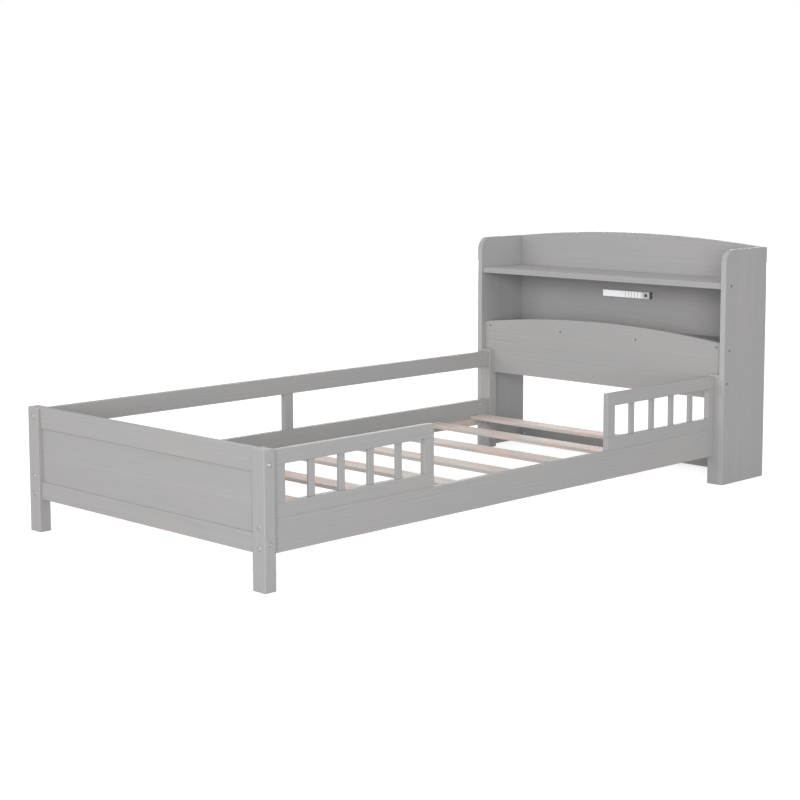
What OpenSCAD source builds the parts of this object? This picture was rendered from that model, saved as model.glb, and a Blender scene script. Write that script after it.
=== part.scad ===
// Low slatted bed for a young child: a framed footboard, two side rails with
// guards above them, a slatted deck, and a headboard with two open shelves and
// a battery light.
//
// X runs across the bed, with the entry side at +X. Y runs from the footboard
// to the headboard. Z is up from the floor. The origin is on the floor under
// the middle of the bed.

/* [Overall size] */
// Length from the footboard's outer face to the back of the headboard
bed_length = 2230; // [1800:10:2700]
// Width over the two foot posts
frame_width = 1066; // [860:2:1300]
// How far the headboard stands out past each foot post
head_overhang = 23; // [15:1:30]

/* [Foot posts] */
// Width of a foot post, across the bed
post_width = 50; // [40:1:70]
// Depth of a foot post, along the bed
post_depth = 38; // [30:1:50]
// Height of the foot posts
post_height = 372; // [310:1:460]

/* [Footboard] */
// Thickness of the footboard's two rails
foot_rail_thick = 20; // [16:1:26]
// Step from the posts' outer face back to the rails
foot_rail_setback = 9; // [2:1:12]
// Height of the footboard's top rail
foot_top_rail_height = 62; // [50:1:80]
// Height of the footboard's bottom rail
foot_bottom_rail_height = 52; // [42:1:70]
// Floor to the underside of the bottom rail
foot_rail_base = 98; // [80:1:120]
// Thickness of the footboard's panel
foot_panel_thick = 9; // [6:1:11]
// Depth of the grooves that hold the panel
panel_groove = 8; // [5:1:10]

/* [Side rails] */
// Thickness of the side rails and of the guards above them
rail_thick = 18; // [15:0.1:22]
// Height of a side rail
rail_height = 90; // [75:1:120]
// Floor to the underside of a side rail
rail_base = 96; // [80:1:120]
// Step from a foot post's side face in to the side rail
rail_inset = 15; // [10:1:18]
// Side rail's underside up to its lower bolt
lower_bolt_rise = 18; // [14:1:22]
// Side rail's underside up to its upper bolt
upper_bolt_rise = 72; // [50:1:74]

/* [Slats] */
// Number of slats
slat_count = 8; // [5:1:12]
// Width of a slat
slat_width = 70; // [50:1:90]
// Thickness of a slat
slat_thick = 12; // [10:1:18]
// Gap between a slat's end and the side rail
slat_end_gap = 2; // [1:0.5:5]
// Gap between the footboard's posts and the first slat
first_slat_gap = 88; // [40:1:120]
// Gap between the last slat and the headboard's legs
last_slat_gap = 34; // [26:1:120]
// Spacing of the last two slats, middle to middle
last_slat_pitch = 246; // [120:1:280]
// Width of the ledgers that carry the slats
ledger_width = 20; // [16:1:30]
// Height of the ledgers
ledger_height = 22; // [18:1:40]
// Side rail's underside up to the ledger's underside
ledger_rise = 1; // [0:1:6]
// Space left past each end of a ledger for the rail's lower nut
ledger_end_gap = 58; // [54:1:68]
// Screws in each ledger
ledger_screws_each = 5; // [3:1:8]

/* [Guards on the entry side] */
// Length of the guard near the foot
foot_guard_length = 598; // [480:2:720]
// Length of the guard near the head
head_guard_length = 572; // [480:2:720]
// Height of a guard above the side rail
guard_height = 180; // [150:1:220]
// Height of a guard's top and bottom rails
guard_rail_height = 40; // [32:1:48]
// Width of the stile next to the foot post
foot_joint_stile = 46; // [36:1:60]
// Width of the stile next to the headboard leg
head_joint_stile = 32; // [28:1:60]
// Width of the stile at each guard's free end
guard_free_stile = 37; // [28:1:56]
// Balusters in each guard
baluster_count = 4; // [2:1:6]
// Width of a baluster
baluster_width = 22; // [16:1:32]
// Thickness of a baluster
baluster_thick = 9; // [7:0.5:10]
// Depth of the mortises for the stiles' tenons and the balusters
tenon_length = 12; // [8:1:14]
// Thickness of a stile's tenon
tenon_thick = 8; // [6:0.5:10]
// Shoulder left on each side of a tenon's width
tenon_shoulder = 5; // [3:0.5:8]

/* [Guard on the wall side] */
// Height of the wall side guard's rail
wall_guard_height = 58; // [46:1:72]
// Width of the stile under the wall side guard
wall_stile_width = 38; // [30:1:60]
// Footboard's outer face to the middle of that stile
wall_stile_place = 993; // [800:1:1200]
// Middle of the wall side guard's rail up to its bolt
wall_bolt_offset = 7; // [4:1:10]

/* [Headboard] */
// Depth of the headboard, along the bed
head_depth = 242; // [200:1:300]
// Thickness of the headboard's side panels
side_thick = 20; // [17:1:24]
// Height of the side panels
side_height = 790; // [735:1:950]
// Radius of each side panel's top front corner
side_corner = 46; // [20:1:70]
// Width of a headboard leg, across the bed
leg_width = 41; // [38:1:50]
// Depth of a headboard leg, along the bed
leg_depth = 39; // [32:1:50]
// Height of the headboard legs
leg_height = 372; // [366:1:430]
// Thickness of the front board
front_board_thick = 18; // [15:0.1:22]
// Step from the side panels' front edges back to the front board
front_board_setback = 21; // [12:1:24]
// Floor to the front board's lower edge
front_board_base = 286; // [240:1:310]
// Floor to the front board's top edge at its ends
front_board_ends = 474; // [472:1:500]
// Rise of the front board's curved top edge
front_board_rise = 34; // [20:1:60]
// Thickness of the two shelves
shelf_thick = 20; // [16:1:24]
// Floor to the lower shelf's underside
lower_shelf_base = 450; // [448:1:460]
// Floor to the upper shelf's underside
upper_shelf_base = 658; // [600:1:680]
// Step from the side panels' front edges back to the upper shelf
upper_shelf_setback = 8; // [2:1:20]
// Thickness of the back panel
back_thick = 18; // [15:1:22]
// Rise of the back panel's curved top edge above the side panels
back_rise = 28; // [15:1:50]
// Height of the rail across the back near the floor
base_rail_height = 46; // [36:1:80]
// Floor to that rail's underside
base_rail_lift = 4; // [2:1:20]

/* [Light] */
// Length of the light
light_length = 214; // [180:1:300]
// Height of the light
light_height = 25; // [22:1:34]
// Depth of the light, out from the back panel
light_depth = 14; // [13:1:20]
// Gap between the upper shelf and the light
light_drop = 50; // [20:1:70]
// Middle of the light from the middle of the bed
light_offset = -20; // [-80:1:80]
// Wall of the light's housing
light_wall = 1.5; // [1.2:0.1:2]
// Thickness of the light's lens
lens_thick = 3; // [2:0.5:3]
// Length of the button end of the light
button_end = 34; // [26:1:50]
// Side of the square button
button_size = 10; // [9:1:16]
// How far the button stands out
button_proud = 1.4; // [1.2:0.1:2.5]
// How far the button travels
button_travel = 1; // [0.5:0.1:1]

/* [Fasteners] */
// Diameter of the bolts
bolt_d = 6; // [5:1:8]
// Diameter of a bolt's head
bolt_head_d = 12; // [10:1:14]
// Height of a bolt's head
bolt_head_height = 4; // [3:0.5:5]
// Across the corners of a bolt's hexagon socket
bolt_socket_d = 4.6; // [3:0.1:6]
// Diameter of a barrel nut
barrel_d = 10; // [9:0.5:12]
// End of a rail to its barrel nut
barrel_inset = 44; // [34:1:50]
// Wood left between a barrel nut's hole and the far face
barrel_skin = 4; // [3:0.5:6]
// Diameter of the screws
screw_d = 4; // [3:0.5:5]
// Diameter of a screw's head
screw_head_d = 8; // [6:0.5:9]
// Height of a screw's head
screw_head_height = 2.5; // [2:0.5:3]
// Length of the headboard's screws
head_screw_length = 38; // [30:1:40]
// Depth that a short screw goes into the second piece
screw_bite = 8; // [6:1:8]
// Length of the screws under the guards, past the side rail
guard_screw_bite = 22; // [16:1:24]
// Diameter of the wooden dowels
dowel_d = 8; // [6:1:10]
// Length of the wooden dowels
dowel_length = 30; // [24:1:32]
// Diameter of the cam locks
cam_d = 15; // [12:1:16]
// Depth of the cam locks
cam_depth = 11; // [9:1:13]
// End of the back rail to its cam lock
cam_inset = 24; // [20:1:34]

/* [Fits] */
// Gap all round a tenon, a dowel or a screw in its hole
fit_gap = 0.15; // [0.1:0.05:0.3]
// Gap all round a bolt in its hole
bolt_gap = 0.3; // [0.2:0.05:0.5]
// Gap between the footboard's panel and the bottom of its groove
panel_gap = 0.5; // [0.3:0.1:1]
// Gap all round the light's button
button_gap = 0.4; // [0.3:0.05:0.6]
// Depth of a bolt's or screw's head below the surface
head_recess = 0.4; // [0.2:0.1:1]

/* [Hidden] */
$fn = 32;
// Sides of the large arcs along the top of the headboard
arch_fn = 720;
// Sides of the circle at each side panel's corner
corner_fn = 96;
// How far a cutting shape runs past a surface
over = 1;

// Across the bed
post_out = frame_width / 2;
post_in = post_out - post_width;
rail_out = post_out - rail_inset;
rail_in = rail_out - rail_thick;
rail_mid = (rail_in + rail_out) / 2;
head_out = post_out + head_overhang;
head_in = head_out - side_thick;
leg_in = head_in - leg_width;
ledger_in = rail_in - ledger_width;
slat_half = rail_in - slat_end_gap;

// Along the bed
foot_y = -bed_length / 2;
post_back = foot_y + post_depth;
foot_rail_front = foot_y + foot_rail_setback;
foot_rail_back = foot_rail_front + foot_rail_thick;
foot_rail_mid = (foot_rail_front + foot_rail_back) / 2;
head_back = bed_length / 2;
head_front = head_back - head_depth;
leg_back = head_front + leg_depth;
leg_mid = (head_front + leg_back) / 2;
board_front = head_front + front_board_setback;
board_back = board_front + front_board_thick;
board_mid = (board_front + board_back) / 2;
back_front = head_back - back_thick;
back_mid = (back_front + head_back) / 2;
upper_shelf_front = head_front + upper_shelf_setback;
light_front = back_front - light_depth;

// Heights
rail_top = rail_base + rail_height;
rail_bolt_heights = [rail_base + lower_bolt_rise, rail_base + upper_bolt_rise];
ledger_base = rail_base + ledger_rise;
ledger_top = ledger_base + ledger_height;
slat_top = ledger_top + slat_thick;
guard_top = rail_top + guard_height;
guard_gap_low = rail_top + guard_rail_height;
guard_gap_high = guard_top - guard_rail_height;
guard_gap_mid = (guard_gap_low + guard_gap_high) / 2;
wall_guard_base = guard_top - wall_guard_height;
wall_bolt_height = guard_top - wall_guard_height / 2 + wall_bolt_offset;
foot_top_rail_base = post_height - foot_top_rail_height;
foot_bottom_rail_top = foot_rail_base + foot_bottom_rail_height;
panel_low = foot_bottom_rail_top - panel_groove;
panel_high = foot_top_rail_base + panel_groove;
lower_shelf_mid = lower_shelf_base + shelf_thick / 2;
upper_shelf_mid = upper_shelf_base + shelf_thick / 2;
upper_shelf_top = upper_shelf_base + shelf_thick;
light_top = upper_shelf_base - light_drop;
light_base = light_top - light_height;
light_mid = (light_top + light_base) / 2;

// Footboard joints: a bolt and a dowel in each rail end
foot_bolt_rise = 22;
top_dowel_drop = 15;
bottom_dowel_rise = 9;
top_bolt_height = foot_top_rail_base + foot_bolt_rise;
top_dowel_height = post_height - top_dowel_drop;
bottom_bolt_height = rail_bolt_heights[0] + 2 * bolt_d;
bottom_dowel_height = foot_rail_base + bottom_dowel_rise;

// Bolts and barrel nuts
bolt_tail = 8;
bolt_socket_depth = 0.6 * bolt_head_height;
rail_bolt_length = max(post_depth, leg_depth) + barrel_inset + bolt_tail;
foot_bolt_length = post_width + barrel_inset + bolt_tail;
barrel_recess = 0.5;
barrel_length = rail_thick - barrel_skin - 2 * barrel_recess;
barrel_slot_width = 1.4;
barrel_slot_depth = 1.2;

// Slats
first_slat_y = post_back + first_slat_gap + slat_width / 2;
last_slat_y = head_front - last_slat_gap - slat_width / 2;
slat_pitch = (last_slat_y - last_slat_pitch - first_slat_y) / (slat_count - 2);
slat_screw_inset = ledger_width / 2;
ledger_start = post_back + ledger_end_gap;
ledger_end = head_front - ledger_end_gap;
ledger_screw_length = ledger_width + screw_bite;
slat_screw_length = slat_thick + screw_bite;

// Guards
foot_guard_start = post_back;
head_guard_start = head_front - head_guard_length;
guard_dowel_inset = 70;
guard_screw_inset = 6;
guard_screw_x = rail_out - guard_screw_inset;
guard_screw_length = rail_height + guard_screw_bite;

// Headboard screws and dowels
board_screw_inset = 26;
board_screw_x = head_in - board_screw_inset;
board_screw_places = [-board_screw_x, -board_screw_x / 3, board_screw_x / 3, board_screw_x];
shelf_dowel_insets = [90, 180];
shelf_dowel_places = [for (inset = shelf_dowel_insets) head_front + inset];
leg_dowel_heights = [60, 230];
leg_screw_drop = 31;
leg_screw_height = leg_height - leg_screw_drop;
board_dowel_rise = 20;
board_dowel_height = front_board_base + board_dowel_rise;
board_side_screw_drop = 8;
board_side_screw_height = lower_shelf_mid - board_side_screw_drop;
shelf_screw_inset = 33;
shelf_screw_y = head_front + shelf_screw_inset;
back_dowel_drop = 40;
back_dowel_rise = 60;
back_dowel_heights = [light_base - back_dowel_drop, upper_shelf_top + back_dowel_rise];

// Cam locks
base_rail_mid = base_rail_lift + base_rail_height / 2;
cam_slot_width = 1.6;
cam_slot_depth = 2;
cam_pin_d = 6;
cam_pin_length = cam_inset + side_thick - barrel_skin;

// Light
light_left = light_offset - light_length / 2;
light_right = light_offset + light_length / 2;
lens_left = light_left + 2 * light_wall;
lens_right = light_right - button_end;
button_x = (lens_right + light_right) / 2;
button_flange = 1.2;
button_rim = 1.5;
button_stop = 0.3;
board_lead = 3.4;
led_board_thick = 1.2;
led_front = light_front + light_wall + board_lead + button_travel;
led_size = 3;
led_height = 0.8;
led_count = 9;
switch_size = 6;
switch_height = 1.2;
battery_length = 68;
battery_height = 18;
light_screw_insets = [16, 12];
light_screw_x = [light_left + light_screw_insets[0], lens_right - light_screw_insets[1]];
light_screw_length = 9;

slat_nodes = [for (i = [1 : slat_count]) str("slat_", i)];
foot_baluster_nodes = [for (i = [1 : baluster_count]) str("foot_guard_baluster_", i)];
head_baluster_nodes = [for (i = [1 : baluster_count]) str("head_guard_baluster_", i)];

// ---------------------------------------------------------------- colours

module painted() {
    color([0.66, 0.66, 0.65]) children();
}

module bare_wood() {
    color([0.83, 0.77, 0.71]) children();
}

module steel() {
    color([0.55, 0.55, 0.56]) children();
}

// ------------------------------------------------------------ basic shapes

module block(low, high) {
    translate(low) cube(high - low);
}

module along_x() {
    rotate([0, 90, 0]) children();
}

module along_y() {
    rotate([-90, 0, 0]) children();
}

// Turns a shape that points up so that it points down, or along the other way
module reversed() {
    rotate([180, 0, 0]) children();
}

// Leaves a right-hand shape as it is, or mirrors it to the left-hand side
module to_side(side) {
    if (side > 0) children();
    else mirror([1, 0, 0]) children();
}

// Board whose top edge is an arc: full height at the middle, "ends" at its ends
module arched_board(half_width, front, back, base, ends, rise) {
    radius = (half_width * half_width + rise * rise) / (2 * rise);
    intersection() {
        block([-half_width, front, base], [half_width, back, ends + rise + over]);
        translate([0, front - over, ends + rise - radius])
            along_y() cylinder(r = radius, h = back - front + 2 * over, $fn = arch_fn);
    }
}

// ---------------------------------------------------------------- fasteners
// Each one lies along +Z with its head at Z 0, at the surface of the wood.

module bolt(length) {
    difference() {
        union() {
            translate([0, 0, head_recess]) cylinder(h = bolt_head_height, d = bolt_head_d);
            translate([0, 0, head_recess + bolt_head_height])
                cylinder(h = length - head_recess - bolt_head_height, d = bolt_d);
        }
        translate([0, 0, head_recess - over])
            cylinder(h = over + bolt_socket_depth, d = bolt_socket_d, $fn = 6);
    }
}

module bolt_bore(length) {
    translate([0, 0, -over])
        cylinder(h = over + head_recess + bolt_head_height, d = bolt_head_d + 2 * bolt_gap);
    cylinder(h = length + bolt_gap, d = bolt_d + 2 * bolt_gap);
}

module barrel_nut() {
    difference() {
        translate([0, 0, barrel_recess]) cylinder(h = barrel_length, d = barrel_d);
        translate([0, -barrel_d, rail_thick / 2])
            along_y() cylinder(h = 2 * barrel_d, d = bolt_d + 2 * fit_gap);
        block([-barrel_d, -barrel_slot_width / 2, 0],
              [barrel_d, barrel_slot_width / 2, barrel_recess + barrel_slot_depth]);
    }
}

module barrel_bore() {
    translate([0, 0, -over])
        cylinder(h = over + barrel_length + 2 * barrel_recess, d = barrel_d + 2 * fit_gap);
}

module screw(length) {
    translate([0, 0, head_recess])
        cylinder(h = screw_head_height, d1 = screw_head_d, d2 = screw_d);
    translate([0, 0, head_recess + screw_head_height])
        cylinder(h = length - head_recess - screw_head_height, d = screw_d);
}

module screw_bore(length) {
    translate([0, 0, -over])
        cylinder(h = over + head_recess, d = screw_head_d + 2 * fit_gap);
    translate([0, 0, head_recess])
        cylinder(h = screw_head_height, d1 = screw_head_d + 2 * fit_gap, d2 = screw_d + 2 * fit_gap);
    cylinder(h = length + over, d = screw_d + 2 * fit_gap);
}

// A dowel's middle lies at the origin, on the joint between two pieces
module dowel() {
    translate([0, 0, -dowel_length / 2]) cylinder(h = dowel_length, d = dowel_d);
}

module dowel_bore() {
    translate([0, 0, -dowel_length / 2 - over])
        cylinder(h = dowel_length + 2 * over, d = dowel_d + 2 * fit_gap);
}

// --------------------------------------------------------- fastener places

// Bolts through a foot post into the end of the side rail
module at_foot_rail_bolts(side) {
    for (z = rail_bolt_heights)
        translate([side * rail_mid, foot_y, z]) along_y() children();
}

// Bolts through a headboard leg into the other end of the side rail
module at_head_rail_bolts(side) {
    for (z = rail_bolt_heights)
        translate([side * rail_mid, leg_back, z]) along_y() reversed() children();
}

module at_foot_wall_bolt() {
    translate([-rail_mid, foot_y, wall_bolt_height]) along_y() children();
}

module at_head_wall_bolt() {
    translate([-rail_mid, leg_back, wall_bolt_height]) along_y() reversed() children();
}

// Bolts through a foot post's outer side into a footboard rail
module at_footboard_bolts(side, height) {
    translate([side * post_out, foot_rail_mid, height])
        to_side(-side) along_x() children();
}

// Barrel nuts near each end of a rail or guard, in its inner face
module at_rail_nuts(side, height) {
    for (y = [post_back + barrel_inset, head_front - barrel_inset])
        translate([side * rail_in, y, height]) to_side(side) along_x() children();
}

module at_footboard_nuts(side, height) {
    translate([side * (post_in - barrel_inset), foot_rail_mid + rail_thick / 2, height])
        along_y() reversed() rotate([0, 0, 90]) children();
}

module at_footboard_dowel(side, height) {
    translate([side * post_in, foot_rail_mid, height]) along_x() children();
}

module at_guard_dowels(start) {
    for (place = [guard_dowel_inset, guard_length(start) / 2,
                  guard_length(start) - guard_dowel_inset])
        translate([rail_mid, start + place, rail_top]) children();
}

module at_guard_end_dowel(y) {
    translate([rail_mid, y, guard_gap_mid]) along_y() children();
}

module at_guard_screws(start) {
    for (place = [1, 3] * guard_length(start) / 4)
        translate([guard_screw_x, start + place, rail_base]) children();
}

module at_wall_stile_dowels(height) {
    translate([-rail_mid, foot_y + wall_stile_place, height]) children();
}

module at_ledger_screws(side) {
    step = (ledger_end - ledger_start) / ledger_screws_each;
    for (i = [0 : ledger_screws_each - 1])
        translate([side * ledger_in, ledger_start + (i + 0.5) * step,
                   (ledger_base + ledger_top) / 2])
            to_side(side) along_x() children();
}

// In the middle of the part of the slat that lies over the ledger
module at_slat_screw(side, slat) {
    low = max(slat_y(slat) - slat_width / 2, ledger_start);
    high = min(slat_y(slat) + slat_width / 2, ledger_end);
    translate([side * (rail_in - slat_screw_inset), (low + high) / 2, slat_top])
        reversed() children();
}

module at_leg_dowels(side) {
    for (z = leg_dowel_heights)
        translate([side * head_in, leg_mid, z]) along_x() children();
}

module at_leg_screw(side) {
    translate([side * head_out, leg_mid, leg_screw_height]) to_side(-side) along_x() children();
}

module at_board_dowel(side) {
    translate([side * leg_in, board_mid, board_dowel_height]) along_x() children();
}

module at_board_side_screw(side) {
    translate([side * head_out, board_mid, board_side_screw_height])
        to_side(-side) along_x() children();
}

module at_board_screws() {
    for (x = board_screw_places)
        translate([x, board_front, lower_shelf_mid]) along_y() children();
}

module at_upper_shelf_screw(side) {
    translate([side * head_out, shelf_screw_y, upper_shelf_mid])
        to_side(-side) along_x() children();
}

module at_shelf_dowels(side, height) {
    for (y = shelf_dowel_places)
        translate([side * head_in, y, height]) along_x() children();
}

module at_back_screws(height) {
    for (x = board_screw_places)
        translate([x, head_back, height]) along_y() reversed() children();
}

module at_back_dowels(side) {
    for (z = back_dowel_heights)
        translate([side * head_in, back_mid, z]) along_x() children();
}

module at_cam(side) {
    translate([side * (head_in - cam_inset), back_front, base_rail_mid]) along_y() children();
}

module at_light_screws() {
    for (x = light_screw_x)
        translate([x, back_front - light_wall - head_recess, light_mid]) along_y() children();
}

// ---------------------------------------------------------------- footboard

module foot_post(side) {
    painted() difference() {
        to_side(side) block([post_in, foot_y, 0], [post_out, post_back, post_height]);
        to_side(side) block(
            [post_in - over, foot_rail_mid - foot_panel_thick / 2 - fit_gap, panel_low],
            [post_in + panel_groove, foot_rail_mid + foot_panel_thick / 2 + fit_gap, panel_high]);
        at_foot_rail_bolts(side) bolt_bore(rail_bolt_length);
        for (height = [top_bolt_height, bottom_bolt_height])
            at_footboard_bolts(side, height) bolt_bore(foot_bolt_length);
        for (height = [top_dowel_height, bottom_dowel_height])
            at_footboard_dowel(side, height) dowel_bore();
        if (side < 0) at_foot_wall_bolt() bolt_bore(rail_bolt_length);
        if (side > 0) at_guard_end_dowel(post_back) dowel_bore();
    }
}

module foot_post_left() {
    foot_post(-1);
}

module foot_post_right() {
    foot_post(1);
}

module footboard_rail(base, top, bolt_height, dowel_height, groove_low, groove_high) {
    painted() difference() {
        block([-post_in, foot_rail_front, base], [post_in, foot_rail_back, top]);
        block([-post_in - over, foot_rail_mid - foot_panel_thick / 2 - fit_gap, groove_low],
              [post_in + over, foot_rail_mid + foot_panel_thick / 2 + fit_gap, groove_high]);
        for (side = [-1, 1]) {
            at_footboard_bolts(side, bolt_height) bolt_bore(foot_bolt_length);
            at_footboard_nuts(side, bolt_height) barrel_bore();
            at_footboard_dowel(side, dowel_height) dowel_bore();
        }
    }
}

module foot_top_rail() {
    footboard_rail(foot_top_rail_base, post_height, top_bolt_height, top_dowel_height,
                   foot_top_rail_base - over, panel_high);
}

module foot_bottom_rail() {
    footboard_rail(foot_rail_base, foot_bottom_rail_top, bottom_bolt_height,
                   bottom_dowel_height, panel_low, foot_bottom_rail_top + over);
}

module foot_panel() {
    half = post_in + panel_groove - panel_gap;
    painted() block(
        [-half, foot_rail_mid - foot_panel_thick / 2, panel_low + panel_gap],
        [half, foot_rail_mid + foot_panel_thick / 2, panel_high - panel_gap]);
}

// --------------------------------------------------------- side rails, deck

module side_rail(side) {
    painted() difference() {
        to_side(side) block([rail_in, post_back, rail_base], [rail_out, head_front, rail_top]);
        at_foot_rail_bolts(side) bolt_bore(rail_bolt_length);
        at_head_rail_bolts(side) bolt_bore(rail_bolt_length);
        for (height = rail_bolt_heights) at_rail_nuts(side, height) barrel_bore();
        at_ledger_screws(side) screw_bore(ledger_screw_length);
        if (side < 0) at_wall_stile_dowels(rail_top) dowel_bore();
        if (side > 0) for (start = [foot_guard_start, head_guard_start]) {
            at_guard_dowels(start) dowel_bore();
            at_guard_screws(start) screw_bore(guard_screw_length);
        }
    }
}

module side_rail_left() {
    side_rail(-1);
}

module side_rail_right() {
    side_rail(1);
}

module slat_ledger(side) {
    bare_wood() difference() {
        to_side(side) block([ledger_in, ledger_start, ledger_base],
                            [rail_in, ledger_end, ledger_top]);
        at_ledger_screws(side) screw_bore(ledger_screw_length);
        for (i = [1 : slat_count]) at_slat_screw(side, i) screw_bore(slat_screw_length);
    }
}

module slat_ledger_left() {
    slat_ledger(-1);
}

module slat_ledger_right() {
    slat_ledger(1);
}

// Middle of a slat: evenly spaced from the foot, with the last one at its own spacing
function slat_y(i) = i == slat_count ? last_slat_y : first_slat_y + (i - 1) * slat_pitch;

module slat(i) {
    bare_wood() difference() {
        block([-slat_half, slat_y(i) - slat_width / 2, ledger_top],
              [slat_half, slat_y(i) + slat_width / 2, slat_top]);
        for (side = [-1, 1]) at_slat_screw(side, i) screw_bore(slat_screw_length);
    }
}

// -------------------------------------------------------------- side guards

// Flat tenon at each end of a stile, "gap" larger all round for its mortise
module stile_tenons(low_y, high_y, gap) {
    block([rail_mid - tenon_thick / 2 - gap, low_y + tenon_shoulder - gap,
           guard_gap_low - tenon_length - gap],
          [rail_mid + tenon_thick / 2 + gap, high_y - tenon_shoulder + gap,
           guard_gap_high + tenon_length + gap]);
}

module guard_stile(low_y, high_y) {
    block([rail_in, low_y, guard_gap_low], [rail_out, high_y, guard_gap_high]);
    stile_tenons(low_y, high_y, 0);
}

// The joint stile is next to the post or leg, and the free stile at the entry
function at_foot(start) = start == foot_guard_start;
function guard_length(start) = at_foot(start) ? foot_guard_length : head_guard_length;
function joint_stile_width(start) = at_foot(start) ? foot_joint_stile : head_joint_stile;
function joint_stile_y(start) =
    at_foot(start) ? start : start + head_guard_length - head_joint_stile;
function free_stile_y(start) =
    at_foot(start) ? start + foot_guard_length - guard_free_stile : start;
function baluster_gap(start) =
    (guard_length(start) - joint_stile_width(start) - guard_free_stile
     - baluster_count * baluster_width) / (baluster_count + 1);
function baluster_y(start, i) =
    start + (at_foot(start) ? foot_joint_stile : guard_free_stile)
    + i * baluster_gap(start) + (i - 1) * baluster_width;

// Thin bar let into both rails, "gap" larger all round for its mortises
module baluster_bar(start, i, gap) {
    low = baluster_y(start, i);
    block([rail_mid - baluster_thick / 2 - gap, low - gap, guard_gap_low - tenon_length - gap],
          [rail_mid + baluster_thick / 2 + gap, low + baluster_width + gap,
           guard_gap_high + tenon_length + gap]);
}

module guard_mortises(start) {
    joint = joint_stile_y(start);
    free = free_stile_y(start);
    stile_tenons(joint, joint + joint_stile_width(start), fit_gap);
    stile_tenons(free, free + guard_free_stile, fit_gap);
    for (i = [1 : baluster_count]) baluster_bar(start, i, fit_gap);
}

module guard_top_rail(start) {
    painted() difference() {
        block([rail_in, start, guard_gap_high],
              [rail_out, start + guard_length(start), guard_top]);
        guard_mortises(start);
    }
}

module guard_bottom_rail(start) {
    painted() difference() {
        block([rail_in, start, rail_top],
              [rail_out, start + guard_length(start), guard_gap_low]);
        guard_mortises(start);
        at_guard_dowels(start) dowel_bore();
        at_guard_screws(start) screw_bore(guard_screw_length);
    }
}

module guard_joint_post(start, joint_y) {
    low = joint_stile_y(start);
    painted() difference() {
        guard_stile(low, low + joint_stile_width(start));
        at_guard_end_dowel(joint_y) dowel_bore();
    }
}

module guard_free_post(start) {
    low = free_stile_y(start);
    painted() guard_stile(low, low + guard_free_stile);
}

module guard_baluster(start, i) {
    painted() baluster_bar(start, i, 0);
}

module foot_guard_top_rail() {
    guard_top_rail(foot_guard_start);
}

module foot_guard_bottom_rail() {
    guard_bottom_rail(foot_guard_start);
}

module foot_guard_joint_stile() {
    guard_joint_post(foot_guard_start, post_back);
}

module foot_guard_free_stile() {
    guard_free_post(foot_guard_start);
}

module head_guard_top_rail() {
    guard_top_rail(head_guard_start);
}

module head_guard_bottom_rail() {
    guard_bottom_rail(head_guard_start);
}

module head_guard_joint_stile() {
    guard_joint_post(head_guard_start, head_front);
}

module head_guard_free_stile() {
    guard_free_post(head_guard_start);
}

module wall_guard_rail() {
    painted() difference() {
        block([-rail_out, post_back, wall_guard_base], [-rail_in, head_front, guard_top]);
        at_foot_wall_bolt() bolt_bore(rail_bolt_length);
        at_head_wall_bolt() bolt_bore(rail_bolt_length);
        at_rail_nuts(-1, wall_bolt_height) barrel_bore();
        at_wall_stile_dowels(wall_guard_base) dowel_bore();
    }
}

module wall_guard_stile() {
    middle = foot_y + wall_stile_place;
    painted() difference() {
        block([-rail_out, middle - wall_stile_width / 2, rail_top],
              [-rail_in, middle + wall_stile_width / 2, wall_guard_base]);
        for (height = [rail_top, wall_guard_base]) at_wall_stile_dowels(height) dowel_bore();
    }
}

// ---------------------------------------------------------------- headboard

// Outline of a side panel, with its top front corner rounded
module side_outline() {
    square([head_depth, side_height - side_corner]);
    translate([side_corner, 0]) square([head_depth - side_corner, side_height]);
    translate([side_corner, side_height - side_corner]) circle(r = side_corner, $fn = corner_fn);
}

module head_side(side) {
    painted() difference() {
        to_side(side) translate([head_in, head_front, 0])
            rotate([90, 0, 90]) linear_extrude(side_thick) side_outline();
        at_leg_dowels(side) dowel_bore();
        at_leg_screw(side) screw_bore(head_screw_length);
        at_board_side_screw(side) screw_bore(head_screw_length);
        at_upper_shelf_screw(side) screw_bore(head_screw_length);
        for (height = [lower_shelf_mid, upper_shelf_mid])
            at_shelf_dowels(side, height) dowel_bore();
        at_back_dowels(side) dowel_bore();
        at_cam(side) cam_pin_bore(side);
    }
}

module head_side_left() {
    head_side(-1);
}

module head_side_right() {
    head_side(1);
}

module head_leg(side) {
    painted() difference() {
        to_side(side) block([leg_in, head_front, 0], [head_in, leg_back, leg_height]);
        at_head_rail_bolts(side) bolt_bore(rail_bolt_length);
        at_leg_dowels(side) dowel_bore();
        at_leg_screw(side) screw_bore(head_screw_length);
        at_board_dowel(side) dowel_bore();
        if (side < 0) at_head_wall_bolt() bolt_bore(rail_bolt_length);
        if (side > 0) at_guard_end_dowel(head_front) dowel_bore();
    }
}

module head_leg_left() {
    head_leg(-1);
}

module head_leg_right() {
    head_leg(1);
}

// Full width above the legs, and narrowed to fit between them below
module front_board() {
    painted() difference() {
        arched_board(head_in, board_front, board_back, front_board_base,
                     front_board_ends, front_board_rise);
        for (side = [-1, 1]) {
            to_side(side) block([leg_in, board_front - over, front_board_base - over],
                                [head_in + over, board_back + over, leg_height]);
            at_board_dowel(side) dowel_bore();
            at_board_side_screw(side) screw_bore(head_screw_length);
        }
        at_board_screws() screw_bore(head_screw_length);
    }
}

module shelf(front, base) {
    difference() {
        block([-head_in, front, base], [head_in, back_front, base + shelf_thick]);
        for (side = [-1, 1]) at_shelf_dowels(side, base + shelf_thick / 2) dowel_bore();
        at_back_screws(base + shelf_thick / 2) screw_bore(head_screw_length);
    }
}

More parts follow.
